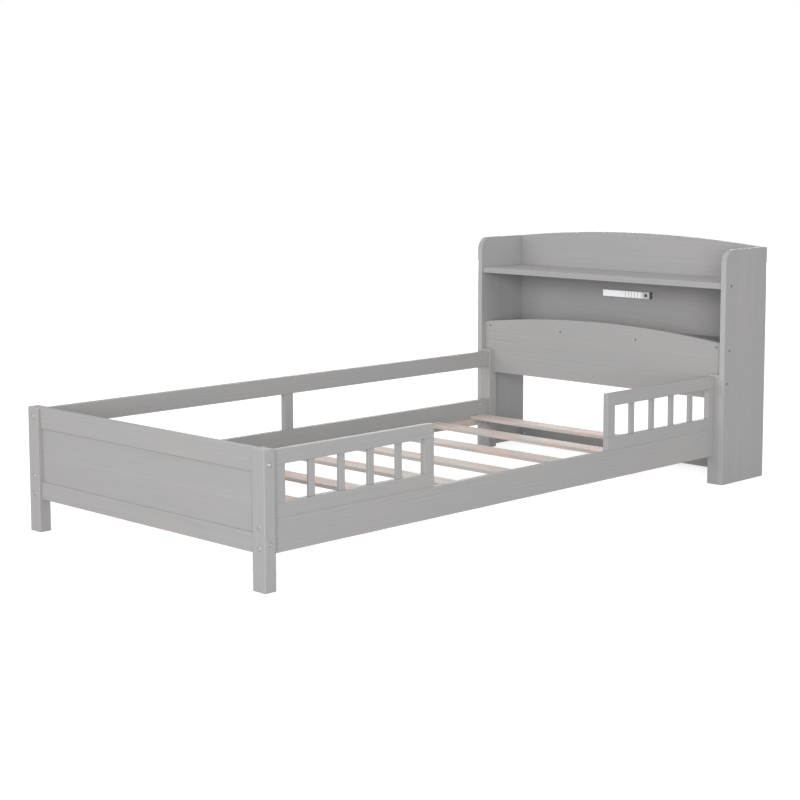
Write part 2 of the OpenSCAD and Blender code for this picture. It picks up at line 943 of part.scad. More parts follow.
module lower_shelf() {
    painted() difference() {
        shelf(board_back, lower_shelf_base);
        at_board_screws() screw_bore(head_screw_length);
    }
}

module upper_shelf() {
    painted() difference() {
        shelf(upper_shelf_front, upper_shelf_base);
        for (side = [-1, 1]) at_upper_shelf_screw(side) screw_bore(head_screw_length);
    }
}

module back_panel() {
    painted() difference() {
        arched_board(head_in, back_front, head_back, lower_shelf_base, side_height, back_rise);
        for (height = [lower_shelf_mid, upper_shelf_mid])
            at_back_screws(height) screw_bore(head_screw_length);
        for (side = [-1, 1]) at_back_dowels(side) dowel_bore();
        at_light_screws() screw_bore(light_screw_length);
    }
}

module base_rail() {
    painted() difference() {
        block([-head_in, back_front, base_rail_lift],
              [head_in, head_back, base_rail_lift + base_rail_height]);
        for (side = [-1, 1]) at_cam(side) {
            cam_bore();
            cam_pin_bore(side);
        }
    }
}

// Cam lock in the rail's front face, and the steel pin that it draws in from
// the side panel. Both are described at the cam, with the pin along X.
module cam_lock(side) {
    difference() {
        translate([0, 0, head_recess]) cylinder(h = cam_depth, d = cam_d);
        cam_pin_bore(side);
        block([-cam_d / 3, -cam_slot_width / 2, 0],
              [cam_d / 3, cam_slot_width / 2, head_recess + cam_slot_depth]);
    }
}

module cam_bore() {
    translate([0, 0, -over]) cylinder(h = over + head_recess + cam_depth + fit_gap,
                                      d = cam_d + 2 * fit_gap);
}

// The pin runs from the cam to a few millimetres short of the panel's outer face
module cam_pin(side, gap = 0) {
    translate([0, 0, back_mid - back_front]) to_side(side) along_x()
        translate([0, 0, -gap])
            cylinder(h = cam_pin_length + 2 * gap, d = cam_pin_d + 2 * gap);
}

module cam_pin_bore(side) {
    cam_pin(side, fit_gap);
}

// -------------------------------------------------------------------- light

// Tray screwed to the back panel, open in front where the lens fits
module light_housing() {
    color([0.75, 0.75, 0.76]) difference() {
        block([light_left, light_front, light_base], [light_right, back_front, light_top]);
        block([light_left + light_wall, light_front + light_wall, light_base + light_wall],
              [light_right - light_wall, back_front - light_wall, light_top - light_wall]);
        block([lens_left, light_front - over, light_base + light_wall],
              [lens_right, light_front + light_wall + over, light_top - light_wall]);
        block([button_x - button_size / 2 - button_gap, light_front - over,
               light_mid - button_size / 2 - button_gap],
              [button_x + button_size / 2 + button_gap, light_front + light_wall + over,
               light_mid + button_size / 2 + button_gap]);
        at_light_screws() screw_bore(light_screw_length);
    }
}

// Clear cover with shallow upright grooves on the half next to the button
module light_lens() {
    groove_pitch = 14;
    groove_width = 2;
    groove_depth = 0.6;
    groove_inset = 4;
    groove_count = floor((lens_right - lens_left) / groove_pitch / 2);
    color([0.93, 0.94, 0.95]) difference() {
        block([lens_left + fit_gap, light_front, light_base + light_wall + fit_gap],
              [lens_right - fit_gap, light_front + lens_thick, light_top - light_wall - fit_gap]);
        for (i = [0 : groove_count - 1])
            translate([lens_right - groove_inset - i * groove_pitch, 0, 0])
                block([-groove_width, light_front - over, light_base + light_wall + groove_inset],
                      [0, light_front + groove_depth, light_top - light_wall - groove_inset]);
    }
}

// Circuit board with its row of lamps and the switch under the button
module light_board() {
    low = light_left + light_wall + fit_gap;
    high = light_right - light_wall - fit_gap;
    step = (lens_right - lens_left) / led_count;
    color([0.92, 0.92, 0.88]) {
        block([low, led_front, light_base + light_wall + fit_gap],
              [high, led_front + led_board_thick, light_top - light_wall - fit_gap]);
        for (i = [0 : led_count - 1])
            translate([lens_left + (i + 0.5) * step - led_size / 2, led_front - led_height,
                       light_mid - led_size / 2])
                cube([led_size, led_height + fit_gap, led_size]);
        translate([button_x - switch_size / 2, led_front - switch_height,
                   light_mid - switch_size / 2])
            cube([switch_size, switch_height + fit_gap, switch_size]);
    }
}

module light_battery() {
    front = led_front + led_board_thick + fit_gap;
    back = back_front - light_wall - fit_gap;
    middle = (light_screw_x[0] + light_screw_x[1]) / 2;
    color([0.35, 0.4, 0.5])
        block([middle - battery_length / 2, front, light_mid - battery_height / 2],
              [middle + battery_length / 2, back, light_mid + battery_height / 2]);
}

// Square push button with a rim behind the housing's face
module light_button() {
    half = button_size / 2;
    rim = half + button_gap + button_rim;
    rim_front = light_front + light_wall + button_stop;
    color([0.25, 0.25, 0.27]) {
        block([button_x - half, light_front - button_proud, light_mid - half],
              [button_x + half, rim_front + button_flange, light_mid + half]);
        block([button_x - rim, rim_front, light_mid - half],
              [button_x + rim, rim_front + button_flange, light_mid + half]);
    }
}

// Short screws through the tray's back, with their heads inside it
module light_screws() {
    steel() at_light_screws() screw(light_screw_length);
}

// ---------------------------------------------------------- fastener groups

module rail_bolts() {
    steel() for (side = [-1, 1]) {
        at_foot_rail_bolts(side) bolt(rail_bolt_length);
        at_head_rail_bolts(side) bolt(rail_bolt_length);
    }
    steel() at_foot_wall_bolt() bolt(rail_bolt_length);
    steel() at_head_wall_bolt() bolt(rail_bolt_length);
}

module footboard_bolts() {
    steel() for (side = [-1, 1], height = [top_bolt_height, bottom_bolt_height])
        at_footboard_bolts(side, height) bolt(foot_bolt_length);
}

module barrel_nuts() {
    steel() for (side = [-1, 1]) {
        for (height = rail_bolt_heights) at_rail_nuts(side, height) barrel_nut();
        for (height = [top_bolt_height, bottom_bolt_height])
            at_footboard_nuts(side, height) barrel_nut();
    }
    steel() at_rail_nuts(-1, wall_bolt_height) barrel_nut();
}

module wood_dowels() {
    color([0.80, 0.68, 0.50]) {
        for (side = [-1, 1]) {
            for (height = [top_dowel_height, bottom_dowel_height])
                at_footboard_dowel(side, height) dowel();
            for (height = [lower_shelf_mid, upper_shelf_mid])
                at_shelf_dowels(side, height) dowel();
            at_leg_dowels(side) dowel();
            at_board_dowel(side) dowel();
            at_back_dowels(side) dowel();
        }
        for (start = [foot_guard_start, head_guard_start]) at_guard_dowels(start) dowel();
        for (y = [post_back, head_front]) at_guard_end_dowel(y) dowel();
        for (height = [rail_top, wall_guard_base]) at_wall_stile_dowels(height) dowel();
    }
}

module headboard_screws() {
    steel() {
        at_board_screws() screw(head_screw_length);
        for (height = [lower_shelf_mid, upper_shelf_mid])
            at_back_screws(height) screw(head_screw_length);
        for (side = [-1, 1]) {
            at_leg_screw(side) screw(head_screw_length);
            at_board_side_screw(side) screw(head_screw_length);
            at_upper_shelf_screw(side) screw(head_screw_length);
        }
    }
}

module slat_screws() {
    steel() for (side = [-1, 1], i = [1 : slat_count])
        at_slat_screw(side, i) screw(slat_screw_length);
}

module ledger_screws() {
    steel() for (side = [-1, 1]) at_ledger_screws(side) screw(ledger_screw_length);
}

module guard_screws() {
    steel() for (start = [foot_guard_start, head_guard_start])
        at_guard_screws(start) screw(guard_screw_length);
}

module cam_locks() {
    steel() for (side = [-1, 1]) at_cam(side) {
        cam_lock(side);
        cam_pin(side);
    }
}

foot_post_left();
foot_post_right();
foot_top_rail();
foot_bottom_rail();
foot_panel();
side_rail_left();
side_rail_right();
slat_ledger_left();
slat_ledger_right();
for (i = [1 : slat_count])
    slat(i);
foot_guard_top_rail();
foot_guard_bottom_rail();
foot_guard_joint_stile();
foot_guard_free_stile();
for (i = [1 : baluster_count])
    guard_baluster(foot_guard_start, i);
head_guard_top_rail();
head_guard_bottom_rail();
head_guard_joint_stile();
head_guard_free_stile();
for (i = [1 : baluster_count])
    guard_baluster(head_guard_start, i);
wall_guard_rail();
wall_guard_stile();
head_side_left();
head_side_right();
head_leg_left();
head_leg_right();
front_board();
lower_shelf();
upper_shelf();
back_panel();
base_rail();
light_housing();
light_lens();
light_board();
light_battery();
light_button();
light_screws();
rail_bolts();
footboard_bolts();
barrel_nuts();
wood_dowels();
headboard_screws();
slat_screws();
ledger_screws();
guard_screws();
cam_locks();
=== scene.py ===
import math

import bmesh
import bpy
from mathutils import Matrix, Vector


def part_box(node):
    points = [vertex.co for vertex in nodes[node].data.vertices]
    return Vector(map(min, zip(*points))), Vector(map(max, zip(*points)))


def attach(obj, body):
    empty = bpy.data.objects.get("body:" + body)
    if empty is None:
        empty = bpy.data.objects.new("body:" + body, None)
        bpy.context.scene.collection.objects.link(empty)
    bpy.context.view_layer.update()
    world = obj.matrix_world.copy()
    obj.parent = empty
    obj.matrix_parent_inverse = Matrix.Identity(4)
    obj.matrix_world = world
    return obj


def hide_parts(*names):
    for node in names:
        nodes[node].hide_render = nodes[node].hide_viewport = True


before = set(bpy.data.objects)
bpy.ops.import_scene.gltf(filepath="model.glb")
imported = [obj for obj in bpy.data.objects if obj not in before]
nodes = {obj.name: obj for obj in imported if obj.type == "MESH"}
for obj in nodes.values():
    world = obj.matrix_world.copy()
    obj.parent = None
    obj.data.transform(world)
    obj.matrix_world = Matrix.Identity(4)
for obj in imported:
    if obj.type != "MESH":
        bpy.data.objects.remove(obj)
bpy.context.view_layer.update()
mm = 0.001
tolerances = {"weld": 0.01 * mm, "end": 0.02 * mm, "edge": 0.1 * mm}
print("frame loaded:", len(nodes), "CAD nodes")

# Camera
cameraSettings = {
    "place": (3.859, -3.951, 1.153),
    "tiltDown": 0.1143,
    "turn": 0.7697,
    "lens": 78.58,
    "shift": (-0.0351, -0.075),
    "farthest": 200,
}

cameraData = bpy.data.cameras.new("bedCamera")
cameraData.lens = cameraSettings["lens"]
cameraData.shift_x, cameraData.shift_y = cameraSettings["shift"]
cameraData.clip_end = cameraSettings["farthest"]
camera = bpy.data.objects.new("bedCamera", cameraData)
camera.location = cameraSettings["place"]
camera.rotation_euler = (math.pi / 2 - cameraSettings["tiltDown"], 0, cameraSettings["turn"])
bpy.context.scene.collection.objects.link(camera)
bpy.context.scene.camera = camera
print("camera placed")

# Light and floor
studioSettings = {
    "skyStrength": 0.6,
    "keyPlace": (-3.2, -9.2, 3.2),
    "keySize": 4.6,
    "keyPower": 215,
    "topPlace": (0.4, -0.4, 5.2),
    "topSize": 4.0,
    "topPower": 50,
    "frontPlace": (8.0, -8.4, 1.9),
    "frontSize": 5.0,
    "frontPower": 880,
    "sidePlace": (5.6, 0.6, 2.0),
    "sideSize": 3.0,
    "sidePower": 25,
    "backPlace": (-7.0, 8.5, 1.7),
    "backSize": 4.5,
    "backPower": 480,
    "aim": (0, 0.3, 0.4),
    "floorSize": 160,
    "floorShade": 0.55,
    "floorGlow": 0.71,
    "floorBounce": 0.5,
}


def addNode(tree, kind, place, **settings):
    made = tree.nodes.new(kind)
    made.location = place
    for key, value in settings.items():
        setattr(made, key, value)
    return made


def softbox(name, place, size, power):
    data = bpy.data.lights.new(name, "AREA")
    data.shape = "SQUARE"
    data.size = size
    data.energy = power
    lamp = bpy.data.objects.new(name, data)
    lamp.location = place
    way = Vector(studioSettings["aim"]) - Vector(place)
    lamp.rotation_euler = way.to_track_quat("-Z", "Y").to_euler()
    bpy.context.scene.collection.objects.link(lamp)


for part in ("key", "top", "front", "side", "back"):
    softbox(part + "Softbox", studioSettings[part + "Place"], studioSettings[part + "Size"],
            studioSettings[part + "Power"])

bpy.context.scene.view_settings.view_transform = "Standard"

# The sky is white to look at, and dimmer as a light
sky = bpy.data.worlds.new("studioSky")
sky.use_nodes = True
sky.node_tree.nodes.clear()
skyOut = addNode(sky.node_tree, "ShaderNodeOutputWorld", (400, 0))
skyMix = addNode(sky.node_tree, "ShaderNodeMixShader", (200, 0))
skyLight = addNode(sky.node_tree, "ShaderNodeBackground", (0, 60))
skyLook = addNode(sky.node_tree, "ShaderNodeBackground", (0, -80))
skyPath = addNode(sky.node_tree, "ShaderNodeLightPath", (0, 360))
skyLight.inputs["Color"].default_value = (1, 1, 1, 1)
skyLight.inputs["Strength"].default_value = studioSettings["skyStrength"]
skyLook.inputs["Color"].default_value = (1, 1, 1, 1)
skyLook.inputs["Strength"].default_value = 1.0
sky.node_tree.links.new(skyPath.outputs["Is Camera Ray"], skyMix.inputs["Fac"])
sky.node_tree.links.new(skyLight.outputs[0], skyMix.inputs[1])
sky.node_tree.links.new(skyLook.outputs[0], skyMix.inputs[2])
sky.node_tree.links.new(skyMix.outputs[0], skyOut.inputs["Surface"])
bpy.context.scene.world = sky


def floorPaint():
    made = bpy.data.materials.new("studioFloor")
    made.use_nodes = True
    tree = made.node_tree
    tree.nodes.clear()
    out = addNode(tree, "ShaderNodeOutputMaterial", (600, 0))
    pick = addNode(tree, "ShaderNodeMixShader", (400, 0))
    path = addNode(tree, "ShaderNodeLightPath", (200, 300))
    bounce = addNode(tree, "ShaderNodeBsdfDiffuse", (200, 0))
    seen = addNode(tree, "ShaderNodeAddShader", (200, -150))
    shade = addNode(tree, "ShaderNodeBsdfDiffuse", (0, -100))
    glow = addNode(tree, "ShaderNodeEmission", (0, -250))
    bounce.inputs["Color"].default_value = (*[studioSettings["floorBounce"]] * 3, 1)
    shade.inputs["Color"].default_value = (*[studioSettings["floorShade"]] * 3, 1)
    glow.inputs["Strength"].default_value = studioSettings["floorGlow"]
    tree.links.new(shade.outputs[0], seen.inputs[0])
    tree.links.new(glow.outputs[0], seen.inputs[1])
    tree.links.new(path.outputs["Is Camera Ray"], pick.inputs["Fac"])
    tree.links.new(bounce.outputs[0], pick.inputs[1])
    tree.links.new(seen.outputs[0], pick.inputs[2])
    tree.links.new(pick.outputs[0], out.inputs["Surface"])
    return made


def deselectAll():
    if bpy.context.object and bpy.context.object.mode != "OBJECT":
        bpy.ops.object.mode_set(mode="OBJECT")
    bpy.ops.object.select_all(action="DESELECT")


deselectAll()
bpy.ops.mesh.primitive_plane_add(size=studioSettings["floorSize"], location=(0, 0, 0))
floor = bpy.context.object
floor.name = "studioFloor"
floor.data.materials.append(floorPaint())
print("studio ready")


# Node groups that several finishes share
def newGroup(name, inputs, outputs):
    group = bpy.data.node_groups.new(name, "ShaderNodeTree")
    for title, kind, value in inputs:
        made = group.interface.new_socket(title, in_out="INPUT", socket_type=kind)
        if value is not None:
            made.default_value = value
    for title, kind in outputs:
        group.interface.new_socket(title, in_out="OUTPUT", socket_type=kind)
    enter = addNode(group, "NodeGroupInput", (-1400, 0))
    leave = addNode(group, "NodeGroupOutput", (900, 0))
    return group, enter, leave


def ramp(tree, place, source, low, high, lowTo=0.0, highTo=1.0):
    made = addNode(tree, "ShaderNodeMapRange", place, clamp=True)
    made.inputs["From Min"].default_value = low
    made.inputs["From Max"].default_value = high
    made.inputs["To Min"].default_value = lowTo
    made.inputs["To Max"].default_value = highTo
    tree.links.new(source, made.inputs["Value"])
    return made.outputs["Result"]


def stretched(tree, place, source, scale):
    made = addNode(tree, "ShaderNodeVectorMath", place, operation="MULTIPLY")
    made.inputs[1].default_value = scale
    tree.links.new(source, made.inputs[0])
    return made.outputs["Vector"]


def noise(tree, place, source, detail, roughness=0.5):
    made = addNode(tree, "ShaderNodeTexNoise", place)
    made.inputs["Scale"].default_value = 1
    made.inputs["Detail"].default_value = detail
    made.inputs["Roughness"].default_value = roughness
    tree.links.new(source, made.inputs["Vector"])
    return made.outputs["Fac"]


def arithmetic(tree, place, operation, first, second):
    made = addNode(tree, "ShaderNodeMath", place, operation=operation)
    for position, value in enumerate((first, second)):
        if isinstance(value, (int, float)):
            made.inputs[position].default_value = value
        else:
            tree.links.new(value, made.inputs[position])
    return made.outputs[0]


# Pine: growth rings, fine streaks, broad blotches and a few knots. X lies along the grain, in metres.
pineSettings = {
    "ringStretch": (0.12, 1, 1),
    "ringDistortion": 7,
    "ringDetail": 2,
    "ringDetailScale": 0.22,
    "ringRange": (0.25, 1.0),
    "streakScale": (5, 260, 260),
    "streakRoughness": 0.62,
    "poreScale": (26, 1500, 1500),
    "blotchScale": (2.1, 7.5, 7.5),
    "knotCells": 9,
    "knotRange": (0.03, 0.085),    # share of a cell from a knot's middle to its rim
    "ringHeight": 0.12,
    "poreHeight": 0.5,
}
pineGroup, pineIn, pineOut = newGroup(
    "pineFigure",
    [("Vector", "NodeSocketVector", None), ("Ring Scale", "NodeSocketFloat", 45.0),
     ("Knot Share", "NodeSocketFloat", 0.15)],
    [("Rings", "NodeSocketFloat"), ("Streaks", "NodeSocketFloat"), ("Blotches", "NodeSocketFloat"),
     ("Knots", "NodeSocketFloat"), ("Height", "NodeSocketFloat")])

ringSpace = stretched(pineGroup, (-1100, 300), pineIn.outputs["Vector"], pineSettings["ringStretch"])
ringWave = addNode(pineGroup, "ShaderNodeTexWave", (-800, 300), wave_type="RINGS", rings_direction="X")
ringWave.inputs["Distortion"].default_value = pineSettings["ringDistortion"]
ringWave.inputs["Detail"].default_value = pineSettings["ringDetail"]
ringWave.inputs["Detail Scale"].default_value = pineSettings["ringDetailScale"]
pineGroup.links.new(ringSpace, ringWave.inputs["Vector"])
pineGroup.links.new(pineIn.outputs["Ring Scale"], ringWave.inputs["Scale"])
rings = ramp(pineGroup, (-550, 300), ringWave.outputs["Fac"], *pineSettings["ringRange"])

streakSpace = stretched(pineGroup, (-1100, 0), pineIn.outputs["Vector"], pineSettings["streakScale"])
streaks = noise(pineGroup, (-800, 0), streakSpace, 3, pineSettings["streakRoughness"])
poreSpace = stretched(pineGroup, (-1100, -200), pineIn.outputs["Vector"], pineSettings["poreScale"])
pores = noise(pineGroup, (-800, -200), poreSpace, 2)
blotchSpace = stretched(pineGroup, (-1100, -400), pineIn.outputs["Vector"], pineSettings["blotchScale"])
blotches = noise(pineGroup, (-800, -400), blotchSpace, 2)

knotCells = addNode(pineGroup, "ShaderNodeTexVoronoi", (-800, -650))
knotCells.inputs["Scale"].default_value = pineSettings["knotCells"]
pineGroup.links.new(pineIn.outputs["Vector"], knotCells.inputs["Vector"])
knotDot = ramp(pineGroup, (-550, -600), knotCells.outputs["Distance"],
               *pineSettings["knotRange"], 1, 0)
knotPick = addNode(pineGroup, "ShaderNodeSeparateColor", (-550, -800))
pineGroup.links.new(knotCells.outputs["Color"], knotPick.inputs[0])
knotChosen = arithmetic(pineGroup, (-350, -800), "LESS_THAN", knotPick.outputs[0],
                        pineIn.outputs["Knot Share"])
knots = arithmetic(pineGroup, (-150, -650), "MULTIPLY", knotDot, knotChosen)

grainHeight = arithmetic(pineGroup, (-100, 100), "MULTIPLY", rings, pineSettings["ringHeight"])
grainHeight = arithmetic(pineGroup, (100, 100), "ADD", grainHeight, streaks)
poreHeight = arithmetic(pineGroup, (100, -150), "MULTIPLY", pores, pineSettings["poreHeight"])
grainHeight = arithmetic(pineGroup, (300, 50), "ADD", grainHeight, poreHeight)
grainHeight = arithmetic(pineGroup, (500, 50), "SUBTRACT", grainHeight, knots)
for title, value in (("Rings", rings), ("Streaks", streaks), ("Blotches", blotches), ("Knots", knots),
                     ("Height", grainHeight)):
    pineGroup.links.new(value, pineOut.inputs[title])

# Glued staves: a tone for each stave and the fine seam between two. Y lies across the staves.
staveSettings = {
    "width": 0.08,
    "seamWidth": 0.0012,
    "seamRange": (0.2, 1.0),
    "shift": (5, 1.3, 1.7),    # how far the grain moves on from one stave to the next, at most
}
staveGroup, staveIn, staveOut = newGroup(
    "gluedStaves",
    [("Vector", "NodeSocketVector", None), ("Stave Width", "NodeSocketFloat", staveSettings["width"]),
     ("First Seam", "NodeSocketFloat", 0.0),
     ("Seam Width", "NodeSocketFloat", staveSettings["seamWidth"])],
    [("Tone", "NodeSocketFloat"), ("Seam", "NodeSocketFloat"), ("Shift", "NodeSocketVector")])
staveSplit = addNode(staveGroup, "ShaderNodeSeparateXYZ", (-1150, 0))
staveGroup.links.new(staveIn.outputs["Vector"], staveSplit.inputs[0])
acrossStave = arithmetic(staveGroup, (-950, 0), "SUBTRACT", staveSplit.outputs["Y"],
                         staveIn.outputs["First Seam"])
acrossStave = arithmetic(staveGroup, (-750, 0), "DIVIDE", acrossStave, staveIn.outputs["Stave Width"])
staveNumber = arithmetic(staveGroup, (-550, 100), "FLOOR", acrossStave, 0)
staveRandom = addNode(staveGroup, "ShaderNodeTexWhiteNoise", (-350, 100), noise_dimensions="1D")
staveGroup.links.new(staveNumber, staveRandom.inputs["W"])
staveShift = stretched(staveGroup, (-150, 200), staveRandom.outputs["Color"], staveSettings["shift"])
fromSeam = arithmetic(staveGroup, (-350, -150), "PINGPONG", acrossStave, 0.5)
fromSeam = arithmetic(staveGroup, (-150, -150), "MULTIPLY", fromSeam, staveIn.outputs["Stave Width"])
seamShare = arithmetic(staveGroup, (50, -150), "DIVIDE", fromSeam, staveIn.outputs["Seam Width"])
seamMask = ramp(staveGroup, (250, -150), seamShare, *staveSettings["seamRange"], 1, 0)
staveGroup.links.new(staveRandom.outputs["Value"], staveOut.inputs["Tone"])
staveGroup.links.new(seamMask, staveOut.inputs["Seam"])
staveGroup.links.new(staveShift, staveOut.inputs["Shift"])

# Lighter edges, where the surface turns within a small radius: partly rubbed paint, partly a painted
# highlight
edgeSettings = {
    "radius": 2.2 * mm,
    "samples": 6,
    "turnRange": (0.86, 0.995),
    "breakScale": (40, 40, 40),
}
edgeGroup, edgeIn, edgeOut = newGroup("wornAndHighlitEdges", [("Rub", "NodeSocketFloat", 0.5)],
                                      [("Edge", "NodeSocketFloat")])
edgeRound = addNode(edgeGroup, "ShaderNodeBevel", (-900, 0), samples=edgeSettings["samples"])
edgeRound.inputs["Radius"].default_value = edgeSettings["radius"]
edgePlain = addNode(edgeGroup, "ShaderNodeNewGeometry", (-900, -200))
edgeTurn = addNode(edgeGroup, "ShaderNodeVectorMath", (-700, 0), operation="DOT_PRODUCT")
edgeGroup.links.new(edgeRound.outputs[0], edgeTurn.inputs[0])
edgeGroup.links.new(edgePlain.outputs["Normal"], edgeTurn.inputs[1])
edgeMask = ramp(edgeGroup, (-450, 0), edgeTurn.outputs["Value"], *edgeSettings["turnRange"], 1, 0)
edgeCoords = addNode(edgeGroup, "ShaderNodeTexCoord", (-900, -400))
edgeSpace = stretched(edgeGroup, (-700, -300), edgeCoords.outputs["Object"], edgeSettings["breakScale"])
edgeBreak = noise(edgeGroup, (-450, -300), edgeSpace, 3)
edgeMask = arithmetic(edgeGroup, (-200, 0), "MULTIPLY", edgeMask, edgeBreak)
edgeMask = arithmetic(edgeGroup, (0, 0), "MULTIPLY", edgeMask, edgeIn.outputs["Rub"])
edgeGroup.links.new(edgeMask, edgeOut.inputs["Edge"])
print("node groups built")


def useGroup(tree, group, place, **values):
    made = addNode(tree, "ShaderNodeGroup", place, node_tree=group)
    for key, value in values.items():
        made.inputs[key].default_value = value
    return made


def mixColour(tree, place, share, first, second):
    made = addNode(tree, "ShaderNodeMix", place, data_type="RGBA")
    for socket, value in ((made.inputs[0], share), (made.inputs[6], first), (made.inputs[7], second)):
        if isinstance(value, bpy.types.NodeSocket):
            tree.links.new(value, socket)
        elif isinstance(value, (int, float)):
            socket.default_value = value
        else:
            socket.default_value = (*value, 1)
    return made.outputs[2]


def newMaterial(name, **surface):
    made = bpy.data.materials.new(name)
    made.use_nodes = True
    shader = made.node_tree.nodes["Principled BSDF"]
    for key, value in surface.items():
        shader.inputs[key.replace("_", " ")].default_value = value
    return made, made.node_tree, shader


# Coordinates turned so that X lies along the grain, moved on for each board by its own number
def grainSpace(tree, order):
    coords = addNode(tree, "ShaderNodeTexCoord", (-2100, 0))
    split = addNode(tree, "ShaderNodeSeparateXYZ", (-1900, 0))
    turned = addNode(tree, "ShaderNodeCombineXYZ", (-1700, 0))
    tree.links.new(coords.outputs["Object"], split.inputs[0])
    for target, source in zip("XYZ", order):
        tree.links.new(split.outputs[source], turned.inputs[target])
    own = addNode(tree, "ShaderNodeAttribute", (-1900, -250), attribute_type="OBJECT",
                  attribute_name="grainShift")
    moved = addNode(tree, "ShaderNodeVectorMath", (-1500, -100), operation="MULTIPLY_ADD")
    tree.links.new(own.outputs["Vector"], moved.inputs[0])
    moved.inputs[1].default_value = (1, 1, 1)
    tree.links.new(turned.outputs[0], moved.inputs[2])
    return turned.outputs[0], moved.outputs["Vector"]


def bumpFrom(tree, place, height, strength, distance):
    made = addNode(tree, "ShaderNodeBump", place)
    made.inputs["Strength"].default_value = strength
    made.inputs["Distance"].default_value = distance
    tree.links.new(height, made.inputs["Height"])
    return made.outputs["Normal"]


roughRange = (0.3, 0.7)    # the part of a texture's range that a roughness runs over


# A colour, a roughness that follows a texture and a bump that follows a height, put on a shader
def linkSurface(tree, shader, place, colour, texture, height, roughness, settings):
    tree.links.new(colour, shader.inputs["Base Color"])
    rough = ramp(tree, place, texture, *roughRange, *roughness)
    tree.links.new(rough, shader.inputs["Roughness"])
    bump = bumpFrom(tree, (place[0], place[1] - 300), height, settings["bumpStrength"],
                    settings["bumpDepth"])
    tree.links.new(bump, shader.inputs["Normal"])


paintSettings = {
    "light": (0.392, 0.389, 0.388),
    "dark": (0.340, 0.338, 0.338),
    "warm": (0.390, 0.366, 0.362),
    "cool": (0.356, 0.361, 0.361),
    "edge": (0.52, 0.515, 0.51),
    "seamHighlight": (0.46, 0.455, 0.45),
    "knot": (0.27, 0.262, 0.255),
    "roughness": (0.46, 0.62),
    "ringScale": 42.0,
    "ringShare": 0.10,
    "streakShare": 0.66,
    "knotShare": 0.10,
    "figureRange": (0.18, 0.60),
    "warmRange": (0.50, 0.70),
    "coolRange": (0.30, 0.46),
    "warmMost": 0.75,
    "coolMost": 0.5,
    "knotMost": 0.35,
    "toneMost": 0.30,
    "seamMost": 0.55,
    "bumpStrength": 0.22,
    "bumpDepth": 0.25 * mm,
    "wearAndHighlight": 0.55,
}


# Grey washed paint over pine, with the grain just showing
def paintedPine(name, order, staveWidth=None, firstSeam=0.0):
    made, tree, shader = newMaterial(name, Specular_IOR_Level=0.35)
    still, moved = grainSpace(tree, order)
    if staveWidth:
        staves = useGroup(tree, staveGroup, (-1250, 350), **{"Stave Width": staveWidth,
                                                             "First Seam": firstSeam})
        tree.links.new(still, staves.inputs["Vector"])
        onward = addNode(tree, "ShaderNodeVectorMath", (-1050, 100), operation="ADD")
        tree.links.new(moved, onward.inputs[0])
        tree.links.new(staves.outputs["Shift"], onward.inputs[1])
        moved = onward.outputs["Vector"]
    pine = useGroup(tree, pineGroup, (-850, 0), **{"Ring Scale": paintSettings["ringScale"],
                                                   "Knot Share": paintSettings["knotShare"]})
    tree.links.new(moved, pine.inputs["Vector"])
    edges = useGroup(tree, edgeGroup, (-850, -350), Rub=paintSettings["wearAndHighlight"])
    broad = arithmetic(tree, (-600, 200), "MULTIPLY", pine.outputs["Rings"], paintSettings["ringShare"])
    fine = arithmetic(tree, (-600, 50), "MULTIPLY", pine.outputs["Streaks"], paintSettings["streakShare"])
    figure = arithmetic(tree, (-400, 150), "ADD", broad, fine)
    darkShare = ramp(tree, (-400, 320), figure, *paintSettings["figureRange"])
    colour = mixColour(tree, (-200, 200), darkShare, paintSettings["light"], paintSettings["dark"])
    warmShare = ramp(tree, (-400, -100), pine.outputs["Blotches"], *paintSettings["warmRange"],
                     0, paintSettings["warmMost"])
    coolShare = ramp(tree, (-400, -300), pine.outputs["Blotches"], *paintSettings["coolRange"],
                     paintSettings["coolMost"], 0)
    colour = mixColour(tree, (0, 200), warmShare, colour, paintSettings["warm"])
    colour = mixColour(tree, (200, 200), coolShare, colour, paintSettings["cool"])
    knotShare = arithmetic(tree, (0, -300), "MULTIPLY", pine.outputs["Knots"], paintSettings["knotMost"])
    colour = mixColour(tree, (400, 200), knotShare, colour, paintSettings["knot"])
    if staveWidth:
        toneShare = ramp(tree, (200, 450), staves.outputs["Tone"], 0, 1, 0, paintSettings["toneMost"])
        colour = mixColour(tree, (500, 350), toneShare, colour, paintSettings["dark"])
        # Seams painted lighter: a painted highlight along each glued joint
        seamShare = arithmetic(tree, (400, 500), "MULTIPLY", staves.outputs["Seam"],
                               paintSettings["seamMost"])
        colour = mixColour(tree, (600, 350), seamShare, colour, paintSettings["seamHighlight"])
    # Edges painted lighter: partly rubbed paint, partly a painted highlight
    colour = mixColour(tree, (750, 200), edges.outputs["Edge"], colour, paintSettings["edge"])
    linkSurface(tree, shader, (600, -100), colour, pine.outputs["Streaks"], pine.outputs["Height"],
                paintSettings["roughness"], paintSettings)
    shader.location = (1000, 200)
    tree.nodes["Material Output"].location = (1300, 200)
    return made


bareSettings = {
    "early": (0.615, 0.535, 0.495),
    "late": (0.49, 0.405, 0.35),
    "pale": (0.66, 0.61, 0.575),
    "knot": (0.24, 0.125, 0.07),
    "blush": (0.70, 0.535, 0.49),    # pinkish patches along a board
    "grey": (0.56, 0.535, 0.50),     # and greyer ones
    "patchScale": (9, 16, 16),
    "roughness": (0.55, 0.75),
    "ringScale": 50.0,
    "ringShare": 0.6,
    "knotShare": 0.22,
    "streakRange": (0.45, 0.75),
    "paleRange": (0.45, 0.7),
    "blushRange": (0.52, 0.66),
    "greyRange": (0.36, 0.5),
    "streakMost": 0.45,
    "paleMost": 0.6,
    "blushMost": 0.75,
    "greyMost": 0.7,
    "bumpStrength": 0.4,
    "bumpDepth": 0.4 * mm,
    "wearAndHighlight": 0.5,
}


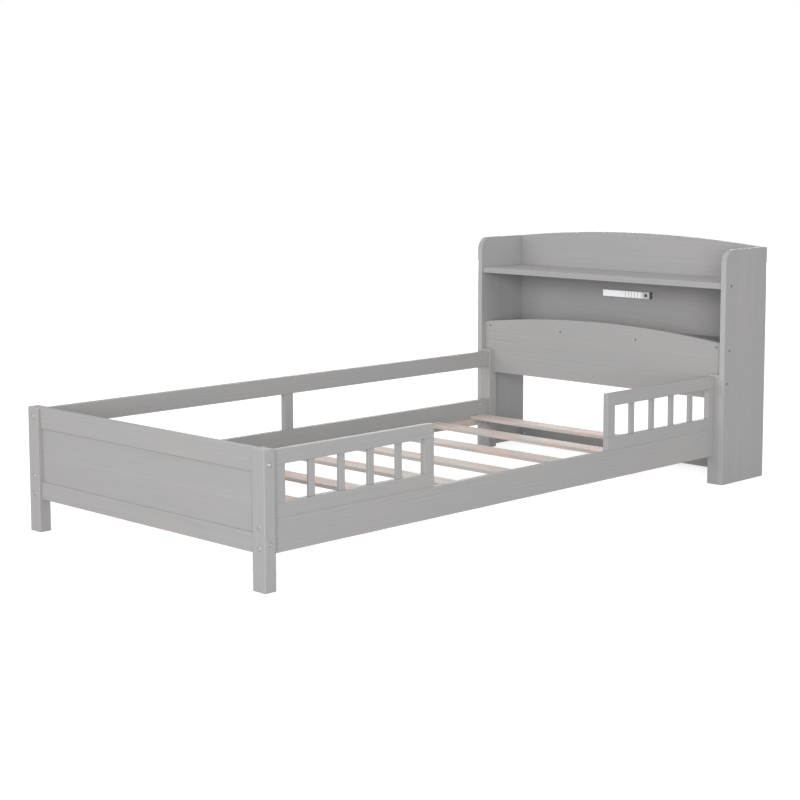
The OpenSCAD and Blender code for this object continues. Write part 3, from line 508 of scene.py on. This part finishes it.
# Unpainted wood, with pinkish and greyer patches
def barePine(name, order):
    made, tree, shader = newMaterial(name, Specular_IOR_Level=0.3)
    still, moved = grainSpace(tree, order)
    patchSpace = stretched(tree, (-1100, -700), still, bareSettings["patchScale"])
    patches = noise(tree, (-850, -700), patchSpace, 2)
    pine = useGroup(tree, pineGroup, (-850, 0), **{"Ring Scale": bareSettings["ringScale"],
                                                   "Knot Share": bareSettings["knotShare"]})
    tree.links.new(moved, pine.inputs["Vector"])
    edges = useGroup(tree, edgeGroup, (-850, -350), Rub=bareSettings["wearAndHighlight"])
    late = arithmetic(tree, (-600, 200), "MULTIPLY", pine.outputs["Rings"], bareSettings["ringShare"])
    colour = mixColour(tree, (-200, 200), late, bareSettings["early"], bareSettings["late"])
    streakShare = ramp(tree, (-400, 0), pine.outputs["Streaks"], *bareSettings["streakRange"],
                       0, bareSettings["streakMost"])
    colour = mixColour(tree, (0, 200), streakShare, colour, bareSettings["late"])
    paleShare = ramp(tree, (-400, -200), pine.outputs["Blotches"], *bareSettings["paleRange"],
                     0, bareSettings["paleMost"])
    colour = mixColour(tree, (200, 200), paleShare, colour, bareSettings["pale"])
    blushShare = ramp(tree, (-400, -600), patches, *bareSettings["blushRange"], 0, bareSettings["blushMost"])
    colour = mixColour(tree, (300, 200), blushShare, colour, bareSettings["blush"])
    greyShare = ramp(tree, (-400, -800), patches, *bareSettings["greyRange"], bareSettings["greyMost"], 0)
    colour = mixColour(tree, (350, 200), greyShare, colour, bareSettings["grey"])
    colour = mixColour(tree, (400, 200), pine.outputs["Knots"], colour, bareSettings["knot"])
    # Edges painted paler: partly wear, partly a painted highlight
    colour = mixColour(tree, (600, 200), edges.outputs["Edge"], colour, bareSettings["pale"])
    linkSurface(tree, shader, (400, -100), colour, pine.outputs["Streaks"], pine.outputs["Height"],
                bareSettings["roughness"], bareSettings)
    shader.location = (900, 200)
    tree.nodes["Material Output"].location = (1200, 200)
    return made


# Metal: fine scratches in one direction, and dull patches
metalSettings = {
    "fineScale": (60, 900, 900),
    "fineDetail": 3,
    "patchScale": (220, 220, 220),
    "patchDetail": 2,
    "patchRange": (0.35, 0.65),
    "bumpStrength": 0.15,
    "bumpDepth": 0.05 * mm,
}
# Moulded plastic: a fine even texture, and slight cloudiness
plasticSettings = {
    "fineScale": (2600, 2600, 2600),
    "fineDetail": 2,
    "patchScale": (45, 45, 45),
    "patchDetail": 3,
    "patchRange": (0.3, 0.7),
    "bumpStrength": 0.12,
    "bumpDepth": 0.05 * mm,
}


def patchyFinish(name, settings, main, patch, roughness, **surface):
    made, tree, shader = newMaterial(name, **surface)
    coords = addNode(tree, "ShaderNodeTexCoord", (-1200, 0))
    fineSpace = stretched(tree, (-950, 100), coords.outputs["Object"], settings["fineScale"])
    fine = noise(tree, (-700, 100), fineSpace, settings["fineDetail"])
    patchSpace = stretched(tree, (-950, -150), coords.outputs["Object"], settings["patchScale"])
    patches = noise(tree, (-700, -150), patchSpace, settings["patchDetail"])
    patchShare = ramp(tree, (-500, -100), patches, *settings["patchRange"])
    colour = mixColour(tree, (-300, 150), patchShare, main, patch)
    linkSurface(tree, shader, (-300, -50), colour, fine, fine, roughness, settings)
    return made


# Each glued board's stave width and the place of one of its seams, in metres
staveRuns = {
    "shelf": (0.085, 0.93),
    "frontBoard": (0.0795, 0.3495),
    "backPanel": (0.092, 0.45),
    "sidePanel": (0.081, 0.873),
    "footPanel": (0.0885, 0.142),
}

# The letters are the axes along, across and through the grain
paintAlongX = paintedPine("paintedPineAcross", "XZY")
paintAlongY = paintedPine("paintedPineLengthways", "YZX")
paintAlongZ = paintedPine("paintedPineUpright", "ZYX")
paintShelf = paintedPine("paintedPineShelf", "XYZ", *staveRuns["shelf"])
paintFrontBoard = paintedPine("paintedPineFrontBoard", "XZY", *staveRuns["frontBoard"])
paintBackPanel = paintedPine("paintedPineBackPanel", "XZY", *staveRuns["backPanel"])
paintSidePanel = paintedPine("paintedPineSidePanel", "ZYX", *staveRuns["sidePanel"])
paintPanel = paintedPine("paintedPineFootPanel", "XZY", *staveRuns["footPanel"])
slatPine = barePine("barePineSlat", "XYZ")
ledgerPine = barePine("barePineLedger", "YZX")
dowelPine = barePine("beechDowel", "ZXY")
zincSteel = patchyFinish("zincSteel", metalSettings, main=(0.95, 0.95, 0.96), patch=(0.72, 0.72, 0.73),
                         roughness=(0.12, 0.28), Metallic=1.0)
darkSteel = patchyFinish("screwSteel", metalSettings, main=(0.34, 0.34, 0.35), patch=(0.2, 0.2, 0.21),
                         roughness=(0.3, 0.5), Metallic=1.0)
print("wood and metal finishes built")


# Making a board: a block at its size and place, with its edges eased
def selectOnly(made):
    deselectAll()
    made.select_set(True)
    bpy.context.view_layer.objects.active = made


def placeInMesh(made):
    selectOnly(made)
    bpy.ops.object.transform_apply(location=True, rotation=True, scale=True)


def addCylinder(sides, radius, depth, place, turn=(0, 0, 0)):
    deselectAll()
    bpy.ops.mesh.primitive_cylinder_add(vertices=sides, radius=radius, depth=depth, location=place,
                                        rotation=turn)
    made = bpy.context.object
    placeInMesh(made)
    return made


def coat(made, material):
    made.data.materials.clear()
    made.data.materials.append(material)


def addBlock(name, low, high):
    deselectAll()
    bpy.ops.mesh.primitive_cube_add(size=1, location=(Vector(low) + Vector(high)) / 2)
    made = bpy.context.object
    made.scale = Vector(high) - Vector(low)
    made.name = made.data.name = name
    placeInMesh(made)
    return made


def chooseEdges(made, wanted):
    bpy.ops.object.mode_set(mode="EDIT")
    bpy.ops.mesh.select_mode(type="EDGE")
    bpy.ops.mesh.select_all(action="DESELECT")
    shape = bmesh.from_edit_mesh(made.data)
    for edge in shape.edges:
        edge.select_set(wanted(edge))
    shape.select_flush(True)
    bmesh.update_edit_mesh(made.data)


easeSettings = {"segments": 3, "profile": 0.5, "angle": 30, "smoothAngle": 35, "weight": 50}


def easeEdges(made, width, segments=easeSettings["segments"], wanted=lambda edge: True):
    chooseEdges(made, wanted)
    bpy.ops.mesh.bevel(offset=width, segments=segments, profile=easeSettings["profile"],
                       affect="EDGES")
    bpy.ops.object.mode_set(mode="OBJECT")


def applyModifier(made, kind, **settings):
    selectOnly(made)
    step = made.modifiers.new(kind.title(), kind)
    for key, value in settings.items():
        setattr(step, key, value)
    bpy.ops.object.modifier_apply(modifier=step.name)


def cutWith(made, tool, operation="DIFFERENCE"):
    applyModifier(made, "BOOLEAN", object=tool, operation=operation, solver="EXACT")
    bpy.data.objects.remove(tool)


def joined(parts, name):
    deselectAll()
    for part in parts:
        part.select_set(True)
    bpy.context.view_layer.objects.active = parts[0]
    if len(parts) > 1:
        bpy.ops.object.join()
    parts[0].name = parts[0].data.name = name
    return parts[0]


def copyOf(source, name, move=(0, 0, 0)):
    made = source.copy()
    made.data = source.data.copy()
    made.name = made.data.name = name
    made.data.transform(Matrix.Translation(Vector(move)))
    bpy.context.scene.collection.objects.link(made)
    return made


def smoothByAngle(made):
    selectOnly(made)
    bpy.ops.object.shade_smooth_by_angle(angle=math.radians(easeSettings["smoothAngle"]))


def smooth(made):
    smoothByAngle(made)
    applyModifier(made, "WEIGHTED_NORMAL", keep_sharp=True, weight=easeSettings["weight"])


# Both ends of every fastener solid in a CAD node: their middles and radii, and the solid's length
def fastenerEnds(nodeName, axis=None, shortest=0.0):
    shape = bmesh.new()
    shape.from_mesh(nodes[nodeName].data)
    bmesh.ops.remove_doubles(shape, verts=shape.verts, dist=tolerances["weld"])
    unseen = set(shape.verts)
    found = []
    while unseen:
        island = [unseen.pop()]
        for vert in island:
            for edge in vert.link_edges:
                other = edge.other_vert(vert)
                if other in unseen:
                    unseen.discard(other)
                    island.append(other)
        low = Vector([min(v.co[i] for v in island) for i in range(3)])
        high = Vector([max(v.co[i] for v in island) for i in range(3)])
        size = high - low
        along = axis if axis is not None else max(range(3), key=lambda i: size[i])
        if size[along] < shortest:
            continue
        for sign, end in ((-1, low[along]), (1, high[along])):
            middle = (low + high) / 2
            middle[along] = end
            radius = max((v.co - middle).length for v in island
                         if abs(v.co[along] - end) < tolerances["end"])
            found.append({"middle": middle, "along": along, "sign": sign, "radius": radius,
                          "length": size[along]})
    shape.free()
    return found


fastenerSettings = {
    "rail_bolts": {"gap": 0.7 * mm, "depth": 5 * mm, "least": 5 * mm},
    "footboard_bolts": {"gap": 0.7 * mm, "depth": 5 * mm, "least": 5 * mm},
    "barrel_nuts": {"gap": 0.15 * mm, "depth": 14 * mm, "least": 4 * mm},
    "headboard_screws": {"gap": 0.2 * mm, "depth": 1.4 * mm, "least": 3 * mm},
    "slat_screws": {"gap": 0.2 * mm, "depth": 1.4 * mm, "least": 3 * mm},
    "ledger_screws": {"gap": 0.2 * mm, "depth": 1.4 * mm, "least": 3 * mm},
    "guard_screws": {"gap": 0.2 * mm, "depth": 1.4 * mm, "least": 3 * mm},
    "cam_locks": {"gap": 0.15 * mm, "depth": 12 * mm, "least": 6 * mm, "axis": 1, "shortest": 9 * mm},
}

heads = []
for nodeName, settings in fastenerSettings.items():
    for end in fastenerEnds(nodeName, settings.get("axis"), settings.get("shortest", 0)):
        if end["radius"] > settings["least"]:
            heads.append({**end, **settings, "node": nodeName})
print("fastener heads found:", len(heads))


def turnTo(along, sign):
    way = Vector((0, 0, 0))
    way[along] = sign
    return way.to_track_quat("Z", "Y")


# Holes where a fastener's head lies just under one of the board's faces
drillSettings = {"reach": 1.2 * mm, "back": 0.4 * mm, "above": 3 * mm, "sides": 40}


def drill(made, low, high):
    tools = []
    for head in heads:
        middle, along = head["middle"], head["along"]
        face = high[along] if head["sign"] > 0 else low[along]
        inside = all(low[i] < middle[i] < high[i] for i in range(3) if i != along)
        if not inside or abs(middle[along] - face) > drillSettings["reach"]:
            continue
        way = Vector((0, 0, 0))
        way[along] = head["sign"]
        bottom = middle - way * (head["depth"] - drillSettings["back"])
        top = middle + way * drillSettings["above"]
        tools.append(addCylinder(drillSettings["sides"], head["radius"] + head["gap"], (top - bottom).length,
                                 (top + bottom) / 2, turnTo(along, head["sign"]).to_euler()))
    if tools:
        cutWith(made, joined(tools, "drillTool"))


# How far the grain moves on from one board to the next, in metres
shiftSettings = {
    "along": (2.37, 11),          # step and limit
    "across": (0.043, 5, 9),      # step, stride and number of places
    "through": (0.031, 7, 11),
    "kept": [0.7, 0.21, 0.13],    # the one shift of the nodes that stay as they are
}
boardCount = 0


def grainShift(count):
    step, limit = shiftSettings["along"]
    shift = [step * count % limit]
    for way in ("across", "through"):
        step, stride, places = shiftSettings[way]
        shift.append(step * (count * stride % places))
    return shift


def finishBoard(made, nodeName, material):
    global boardCount
    boardCount += 1
    smooth(made)
    coat(made, material)
    made["grainShift"] = grainShift(boardCount)
    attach(made, "frame")
    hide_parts(nodeName)
    return made


def plainBoard(name, nodeName, ease, material, low=None, high=None):
    nodeLow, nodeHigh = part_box(nodeName)
    low, high = Vector(low or nodeLow), Vector(high or nodeHigh)
    made = addBlock(name, low, high)
    easeEdges(made, ease)
    drill(made, low, high)
    return finishBoard(made, nodeName, material)


# Footboard
footboardSettings = {"postEase": 2.6 * mm, "railEase": 1.6 * mm}
for side in ("left", "right"):
    plainBoard("footPost_" + side, "foot_post_" + side, footboardSettings["postEase"], paintAlongZ)
for level in ("top", "bottom"):
    plainBoard("footRail_" + level, "foot_" + level + "_rail", footboardSettings["railEase"], paintAlongX)
print("footboard posts and rails done")

# Side rails and their ledgers
railSettings = {"ease": 1.1 * mm, "ledgerEase": 1.0 * mm}
for side in ("left", "right"):
    plainBoard("sideRail_" + side, "side_rail_" + side, railSettings["ease"], paintAlongY)
    plainBoard("slatLedger_" + side, "slat_ledger_" + side, railSettings["ledgerEase"], ledgerPine)
print("side rails and ledgers done")

# Slats: the first is modelled, the others are copies of it, and each is drilled for its own screws
slatSettings = {"ease": 1.6 * mm}
slatNodes = sorted((n for n in nodes if n.startswith("slat_") and n[5:].isdigit()),
                   key=lambda n: int(n[5:]))
slatLow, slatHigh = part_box(slatNodes[0])
firstSlat = addBlock("slat_1", slatLow, slatHigh)
easeEdges(firstSlat, slatSettings["ease"])
otherSlats = [copyOf(firstSlat, "slatBoard_" + n[5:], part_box(n)[0] - slatLow) for n in slatNodes[1:]]
firstSlat.name = firstSlat.data.name = "slatBoard_1"
for nodeName, made in zip(slatNodes, [firstSlat] + otherSlats):
    drill(made, *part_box(nodeName))
    finishBoard(made, nodeName, slatPine)
print("slats done:", len(slatNodes))

# Guards on the entry side
guardSettings = {"railEase": 1.2 * mm, "uprightEase": 1.2 * mm}


def betweenRails(guard, nodeName):
    low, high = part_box(nodeName)
    low.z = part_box(guard + "_guard_bottom_rail")[1].z
    high.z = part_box(guard + "_guard_top_rail")[0].z
    return low, high


firstBaluster = None
for guard in ("foot", "head"):
    for level in ("top", "bottom"):
        plainBoard(guard + "GuardRail_" + level, guard + "_guard_" + level + "_rail",
                   guardSettings["railEase"], paintAlongY)
    for kind in ("joint", "free"):
        nodeName = guard + "_guard_" + kind + "_stile"
        low, high = betweenRails(guard, nodeName)
        plainBoard(guard + "GuardStile_" + kind, nodeName, guardSettings["uprightEase"], paintAlongZ,
                   low=low, high=high)
    for nodeName in sorted(n for n in nodes if n.startswith(guard + "_guard_baluster_")):
        low, high = betweenRails(guard, nodeName)
        name = guard + "GuardBaluster_" + nodeName.rsplit("_", 1)[1]
        if firstBaluster is None:
            firstBaluster, firstLow = addBlock(name, low, high), low
            easeEdges(firstBaluster, guardSettings["uprightEase"])
            made = firstBaluster
        else:
            made = copyOf(firstBaluster, name, low - firstLow)
        finishBoard(made, nodeName, paintAlongZ)
print("entry side guards done")

# Guard on the wall side
plainBoard("wallGuardRail", "wall_guard_rail", guardSettings["railEase"], paintAlongY)
plainBoard("wallGuardStile", "wall_guard_stile", guardSettings["uprightEase"], paintAlongZ)
print("wall side guard done")

# Headboard
headboardSettings = {
    "ease": 1.6 * mm,
    "legEase": 2.0 * mm,
    "cornerRadius": 46 * mm,
    "cornerSegments": 20,
    "archSides": 720,
    "archSpare": 1 * mm,    # how far the block stands over its arc before it's cut
    "notchPast": 10 * mm,
    "notchSide": 5 * mm,
}


def modifierEase(made, width):
    applyModifier(made, "BEVEL", width=width, segments=easeSettings["segments"], limit_method="ANGLE",
                  angle_limit=math.radians(easeSettings["angle"]), harden_normals=False)


for side in ("left", "right"):
    nodeName = "head_side_" + side
    low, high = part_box(nodeName)
    made = addBlock("headSide_" + side, low, high)

    def frontTop(edge):
        return all(abs(v.co.y - low.y) < tolerances["edge"] and abs(v.co.z - high.z) < tolerances["edge"]
                   for v in edge.verts)

    easeEdges(made, headboardSettings["cornerRadius"], headboardSettings["cornerSegments"], frontTop)
    modifierEase(made, headboardSettings["ease"])
    drill(made, low, high)
    finishBoard(made, nodeName, paintSidePanel)
    plainBoard("headLeg_" + side, "head_leg_" + side, headboardSettings["legEase"], paintAlongZ)


# Board with an arc along its top, from the heights of its ends and its middle
def archedBoard(name, nodeName):
    low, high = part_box(nodeName)
    shape = nodes[nodeName].data
    ends = max(v.co.z for v in shape.vertices if v.co.x > high.x - tolerances["edge"])
    half, rise = high.x, high.z - ends
    radius = (half * half + rise * rise) / (2 * rise)
    made = addBlock(name, low, high + Vector((0, 0, headboardSettings["archSpare"])))
    sides = headboardSettings["archSides"]
    tool = addCylinder(sides, radius, (high.y - low.y) * 2, (0, (low.y + high.y) / 2, high.z - radius),
                       (math.pi / 2, math.pi / sides, 0))
    cutWith(made, tool, "INTERSECT")
    return made, low, high


frontBoard, low, high = archedBoard("frontBoard", "front_board")
for side in ("left", "right"):
    legLow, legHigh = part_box("head_leg_" + side)
    past = headboardSettings["notchPast"]
    notchLow = Vector((legLow.x, low.y - past, low.z - past))
    notchHigh = Vector((legHigh.x, high.y + past, legHigh.z))
    if side == "left":
        notchLow.x -= headboardSettings["notchSide"]
    else:
        notchHigh.x += headboardSettings["notchSide"]
    cutWith(frontBoard, addBlock("notchTool", notchLow, notchHigh))
modifierEase(frontBoard, headboardSettings["ease"])
drill(frontBoard, low, high)
finishBoard(frontBoard, "front_board", paintFrontBoard)

backPanel, low, high = archedBoard("backPanel", "back_panel")
modifierEase(backPanel, headboardSettings["ease"])
drill(backPanel, low, high)
finishBoard(backPanel, "back_panel", paintBackPanel)

plainBoard("lowerShelf", "lower_shelf", headboardSettings["ease"], paintShelf)
plainBoard("upperShelf", "upper_shelf", headboardSettings["ease"], paintShelf)
plainBoard("baseRail", "base_rail", headboardSettings["ease"], paintAlongX)
print("headboard done")


# Fasteners: one is modelled at the origin with its head's top at Z 0, and copied to each place
def topFace(made, height):
    bpy.ops.object.mode_set(mode="EDIT")
    bpy.ops.mesh.select_mode(type="FACE")
    bpy.ops.mesh.select_all(action="DESELECT")
    shape = bmesh.from_edit_mesh(made.data)
    for face in shape.faces:
        face.select_set(all(abs(v.co.z - height) < tolerances["weld"] for v in face.verts))
    bmesh.update_edit_mesh(made.data)


# Pulls the chosen face on by a length along Z, and can taper it
def pull(length, taper=1):
    bpy.ops.mesh.extrude_region_move(TRANSFORM_OT_translate={"value": (0, 0, length)})
    if taper != 1:
        bpy.ops.transform.resize(value=(taper, taper, 1))


boltSettings = {"sides": 36, "headRadius": 6 * mm, "headHeight": 4 * mm, "shankRadius": 3 * mm,
                "rim": 0.8 * mm, "rimSegments": 4, "socket": 3.4 * mm, "socketSides": 6,
                "socketDepth": 2.6 * mm, "tip": 0.8 * mm, "taper": 0.75}


def modelBolt(length):
    height, tip = boltSettings["headHeight"], boltSettings["tip"]
    made = addCylinder(boltSettings["sides"], boltSettings["headRadius"], height, (0, 0, -height / 2))
    easeEdges(made, boltSettings["rim"], boltSettings["rimSegments"],
              lambda edge: all(v.co.z > -tolerances["weld"] for v in edge.verts))
    topFace(made, -height)
    bpy.ops.mesh.inset(thickness=boltSettings["headRadius"] - boltSettings["shankRadius"])
    pull(height + tip - length)
    pull(-tip, boltSettings["taper"])
    bpy.ops.object.mode_set(mode="OBJECT")
    cutWith(made, addCylinder(boltSettings["socketSides"], boltSettings["socket"],
                              2 * boltSettings["socketDepth"], (0, 0, 0)))
    return made


screwSettings = {"sides": 28, "headRadius": 4 * mm, "headHeight": 2.5 * mm, "shankRadius": 2 * mm,
                 "lip": 0.3 * mm, "crossLong": 2.3 * mm, "crossWide": 0.55 * mm, "crossDepth": 1.7 * mm,
                 "tip": 3 * mm, "taper": 0.15}


def modelScrew(length):
    lip, height, tip = (screwSettings[k] for k in ("lip", "headHeight", "tip"))
    made = addCylinder(screwSettings["sides"], screwSettings["headRadius"], lip, (0, 0, -lip / 2))
    topFace(made, -lip)
    pull(lip - height, screwSettings["shankRadius"] / screwSettings["headRadius"])
    pull(height + tip - length)
    pull(-tip, screwSettings["taper"])
    bpy.ops.object.mode_set(mode="OBJECT")
    long, wide, deep = (screwSettings[k] for k in ("crossLong", "crossWide", "crossDepth"))
    for first, second in ((long, wide), (wide, long)):
        tool = addBlock("crossTool", (-first, -second, -deep), (first, second, deep))
        cutWith(made, tool)
    return made


def setFasteners(nodeName, modelled, name, material):
    copies = []
    for head in heads:
        if head["node"] != nodeName:
            continue
        made = copyOf(modelled, name)
        made.data.transform(turnTo(head["along"], head["sign"]).to_matrix().to_4x4())
        made.data.transform(Matrix.Translation(head["middle"]))
        copies.append(made)
    bpy.data.objects.remove(modelled)
    made = joined(copies, name)
    coat(made, material)
    smoothByAngle(made)
    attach(made, "frame")
    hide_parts(nodeName)
    return len(copies)


def lengthOf(nodeName):
    return max(head["length"] for head in heads if head["node"] == nodeName)


for nodeName, name in (("rail_bolts", "railBolts"), ("footboard_bolts", "footboardBolts")):
    print(name, setFasteners(nodeName, modelBolt(lengthOf(nodeName)), name, zincSteel))
for nodeName, name in (("headboard_screws", "headboardScrews"), ("slat_screws", "slatScrews"),
                       ("ledger_screws", "ledgerScrews"), ("guard_screws", "guardScrews")):
    print(name, setFasteners(nodeName, modelScrew(lengthOf(nodeName)), name, darkSteel))

# Light on the back panel
lightSettings = {
    "wall": 1.5 * mm,
    "ease": 0.5 * mm,
    "fitGap": 0.15 * mm,
    "buttonGap": 0.4 * mm,
    "buttonFlange": 1.2 * mm,
    "buttonEase": 0.5 * mm,
    "groovePitch": 14 * mm,
    "grooveWidth": 2 * mm,
    "grooveDepth": 0.6 * mm,
    "grooveInset": 4 * mm,
    "grooveStart": 1 * mm,
    "darkEndLength": 1.0 * mm,
    "darkEndColour": (0.09, 0.09, 0.095),
    "grooveShadeRange": (1.2 * mm, 2.4 * mm),
    "grooveShadeMost": 0.75,
    "grooveShadeColour": (0.42, 0.43, 0.45),
}
housingLow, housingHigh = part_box("light_housing")
lensLow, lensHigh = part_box("light_lens")
buttonLow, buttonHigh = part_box("light_button")
buttonMiddle = (buttonLow + buttonHigh) / 2
buttonHalf = (buttonHigh.z - buttonLow.z) / 2


# An Object coordinate, and a mask that is 1 where it is past a limit
def beyond(tree, place, axis, limit):
    coords = addNode(tree, "ShaderNodeTexCoord", (place[0] - 400, place[1]))
    split = addNode(tree, "ShaderNodeSeparateXYZ", (place[0] - 200, place[1]))
    tree.links.new(coords.outputs["Object"], split.inputs[0])
    return split.outputs[axis], arithmetic(tree, place, "GREATER_THAN", split.outputs[axis], limit)


housingPlastic = patchyFinish("lightHousingPlastic", plasticSettings, main=(0.74, 0.74, 0.75),
                              patch=(0.70, 0.70, 0.71), roughness=(0.32, 0.45))
housingTree = housingPlastic.node_tree
housingShader = housingTree.nodes["Principled BSDF"]
# The housing is painted dark near its right end
darkEndMask = beyond(housingTree, (-300, 500), "X", housingHigh.x - lightSettings["darkEndLength"])[1]
housingColour = mixColour(housingTree, (-100, 400), darkEndMask,
                          housingShader.inputs["Base Color"].links[0].from_socket,
                          lightSettings["darkEndColour"])
housingTree.links.new(housingColour, housingShader.inputs["Base Color"])

# The lens is frosted on the left; on the right, over its row of lamps, it is painted darker along each
# groove as upright bars, a painted shade in the grooves
lensPlastic = patchyFinish("lightLensPlastic", plasticSettings, main=(0.90, 0.91, 0.92),
                           patch=(0.86, 0.87, 0.89), roughness=(0.18, 0.3), Emission_Strength=0.30)
lensTree = lensPlastic.node_tree
lensShader = lensTree.nodes["Principled BSDF"]
lensPlace, rightHalf = beyond(lensTree, (-500, 500), "X", (lensLow.x + lensHigh.x) / 2)
fromGroove = arithmetic(lensTree, (-300, 650), "SUBTRACT", lensPlace,
                        lensHigh.x - lightSettings["grooveInset"] - lightSettings["grooveWidth"] / 2)
fromGroove = arithmetic(lensTree, (-100, 650), "PINGPONG", fromGroove, lightSettings["groovePitch"] / 2)
# Darker where the grooves are: painted shade in the grooves
grooveMask = ramp(lensTree, (100, 650), fromGroove, *lightSettings["grooveShadeRange"],
                  lightSettings["grooveShadeMost"], 0)
grooveMask = arithmetic(lensTree, (300, 600), "MULTIPLY", grooveMask, rightHalf)
lensColour = mixColour(lensTree, (500, 500), grooveMask,
                       lensShader.inputs["Base Color"].links[0].from_socket, lightSettings["grooveShadeColour"])
lensTree.links.new(lensColour, lensShader.inputs["Base Color"])
lensTree.links.new(lensColour, lensShader.inputs["Emission Color"])

boardPlastic = patchyFinish("lightBoardLacquer", plasticSettings, main=(0.85, 0.86, 0.82),
                            patch=(0.8, 0.8, 0.76), roughness=(0.35, 0.5))
batteryFoil = patchyFinish("lightBatteryFoil", plasticSettings, main=(0.16, 0.19, 0.26),
                           patch=(0.13, 0.16, 0.22), roughness=(0.3, 0.45))
buttonPlastic = patchyFinish("lightButtonPlastic", plasticSettings, main=(0.06, 0.06, 0.065),
                             patch=(0.045, 0.045, 0.05), roughness=(0.35, 0.5))


def lightPiece(made, body, nodeName, material):
    smooth(made)
    coat(made, material)
    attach(made, body)
    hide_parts(nodeName)


# Housing: an eased tray with a window for the lens and one for the button
housing = addBlock("lightHousing", housingLow, housingHigh)
easeEdges(housing, lightSettings["ease"])
wall = Vector([lightSettings["wall"]] * 3)
fit = Vector([lightSettings["fitGap"]] * 3)
buttonRoom = Vector([buttonHalf + lightSettings["buttonGap"]] * 3)
cutWith(housing, addBlock("cavityTool", housingLow + wall, housingHigh - wall))
for windowLow, windowHigh in ((lensLow - fit, lensHigh + fit),
                              (buttonMiddle - buttonRoom, buttonMiddle + buttonRoom)):
    windowLow.y = housingLow.y - lightSettings["wall"]
    windowHigh.y = housingLow.y + 2 * lightSettings["wall"]
    cutWith(housing, addBlock("windowTool", windowLow, windowHigh))
lightPiece(housing, "frame", "light_housing", housingPlastic)

# Lens: an eased plate with shallow grooves over its right half
lens = addBlock("lightLens", lensLow, lensHigh)
easeEdges(lens, lightSettings["ease"] / 2)
grooveCount = int((lensHigh.x - lensLow.x) / lightSettings["groovePitch"] / 2)
grooveTools = []
for number in range(grooveCount):
    right = lensHigh.x - lightSettings["grooveInset"] - number * lightSettings["groovePitch"]
    grooveLow = (right - lightSettings["grooveWidth"], lensLow.y - lightSettings["grooveStart"],
                 lensLow.z + lightSettings["grooveInset"])
    grooveHigh = (right, lensLow.y + lightSettings["grooveDepth"],
                  lensHigh.z - lightSettings["grooveInset"])
    grooveTools.append(addBlock("grooveTool", grooveLow, grooveHigh))
cutWith(lens, joined(grooveTools, "grooveTool"))
lightPiece(lens, "frame", "light_lens", lensPlastic)

# Button: an eased cap with a rim behind the housing's face
capLow = buttonMiddle - Vector([buttonHalf] * 3)
capHigh = buttonMiddle + Vector([buttonHalf] * 3)
capLow.y, capHigh.y = buttonLow.y, buttonHigh.y
button = addBlock("lightButton", capLow, capHigh)
easeEdges(button, lightSettings["buttonEase"],
          wanted=lambda edge: all(v.co.y < buttonLow.y + tolerances["edge"] for v in edge.verts))
rimLow = Vector((buttonLow.x, buttonHigh.y - lightSettings["buttonFlange"], buttonLow.z))
cutWith(button, addBlock("rimTool", rimLow, buttonHigh), "UNION")
lightPiece(button, "button", "light_button", buttonPlastic)
print("light done")

# CAD nodes that stay as they are, with their finishes
keptFinishes = {
    "foot_panel": paintPanel,
    "barrel_nuts": zincSteel,
    "cam_locks": zincSteel,
    "wood_dowels": dowelPine,
    "light_board": boardPlastic,
    "light_battery": batteryFoil,
    "light_screws": zincSteel,
}
for nodeName, material in keptFinishes.items():
    for place in nodes[nodeName].material_slots:
        place.material = material
    nodes[nodeName]["grainShift"] = shiftSettings["kept"]
print("kept nodes finished")
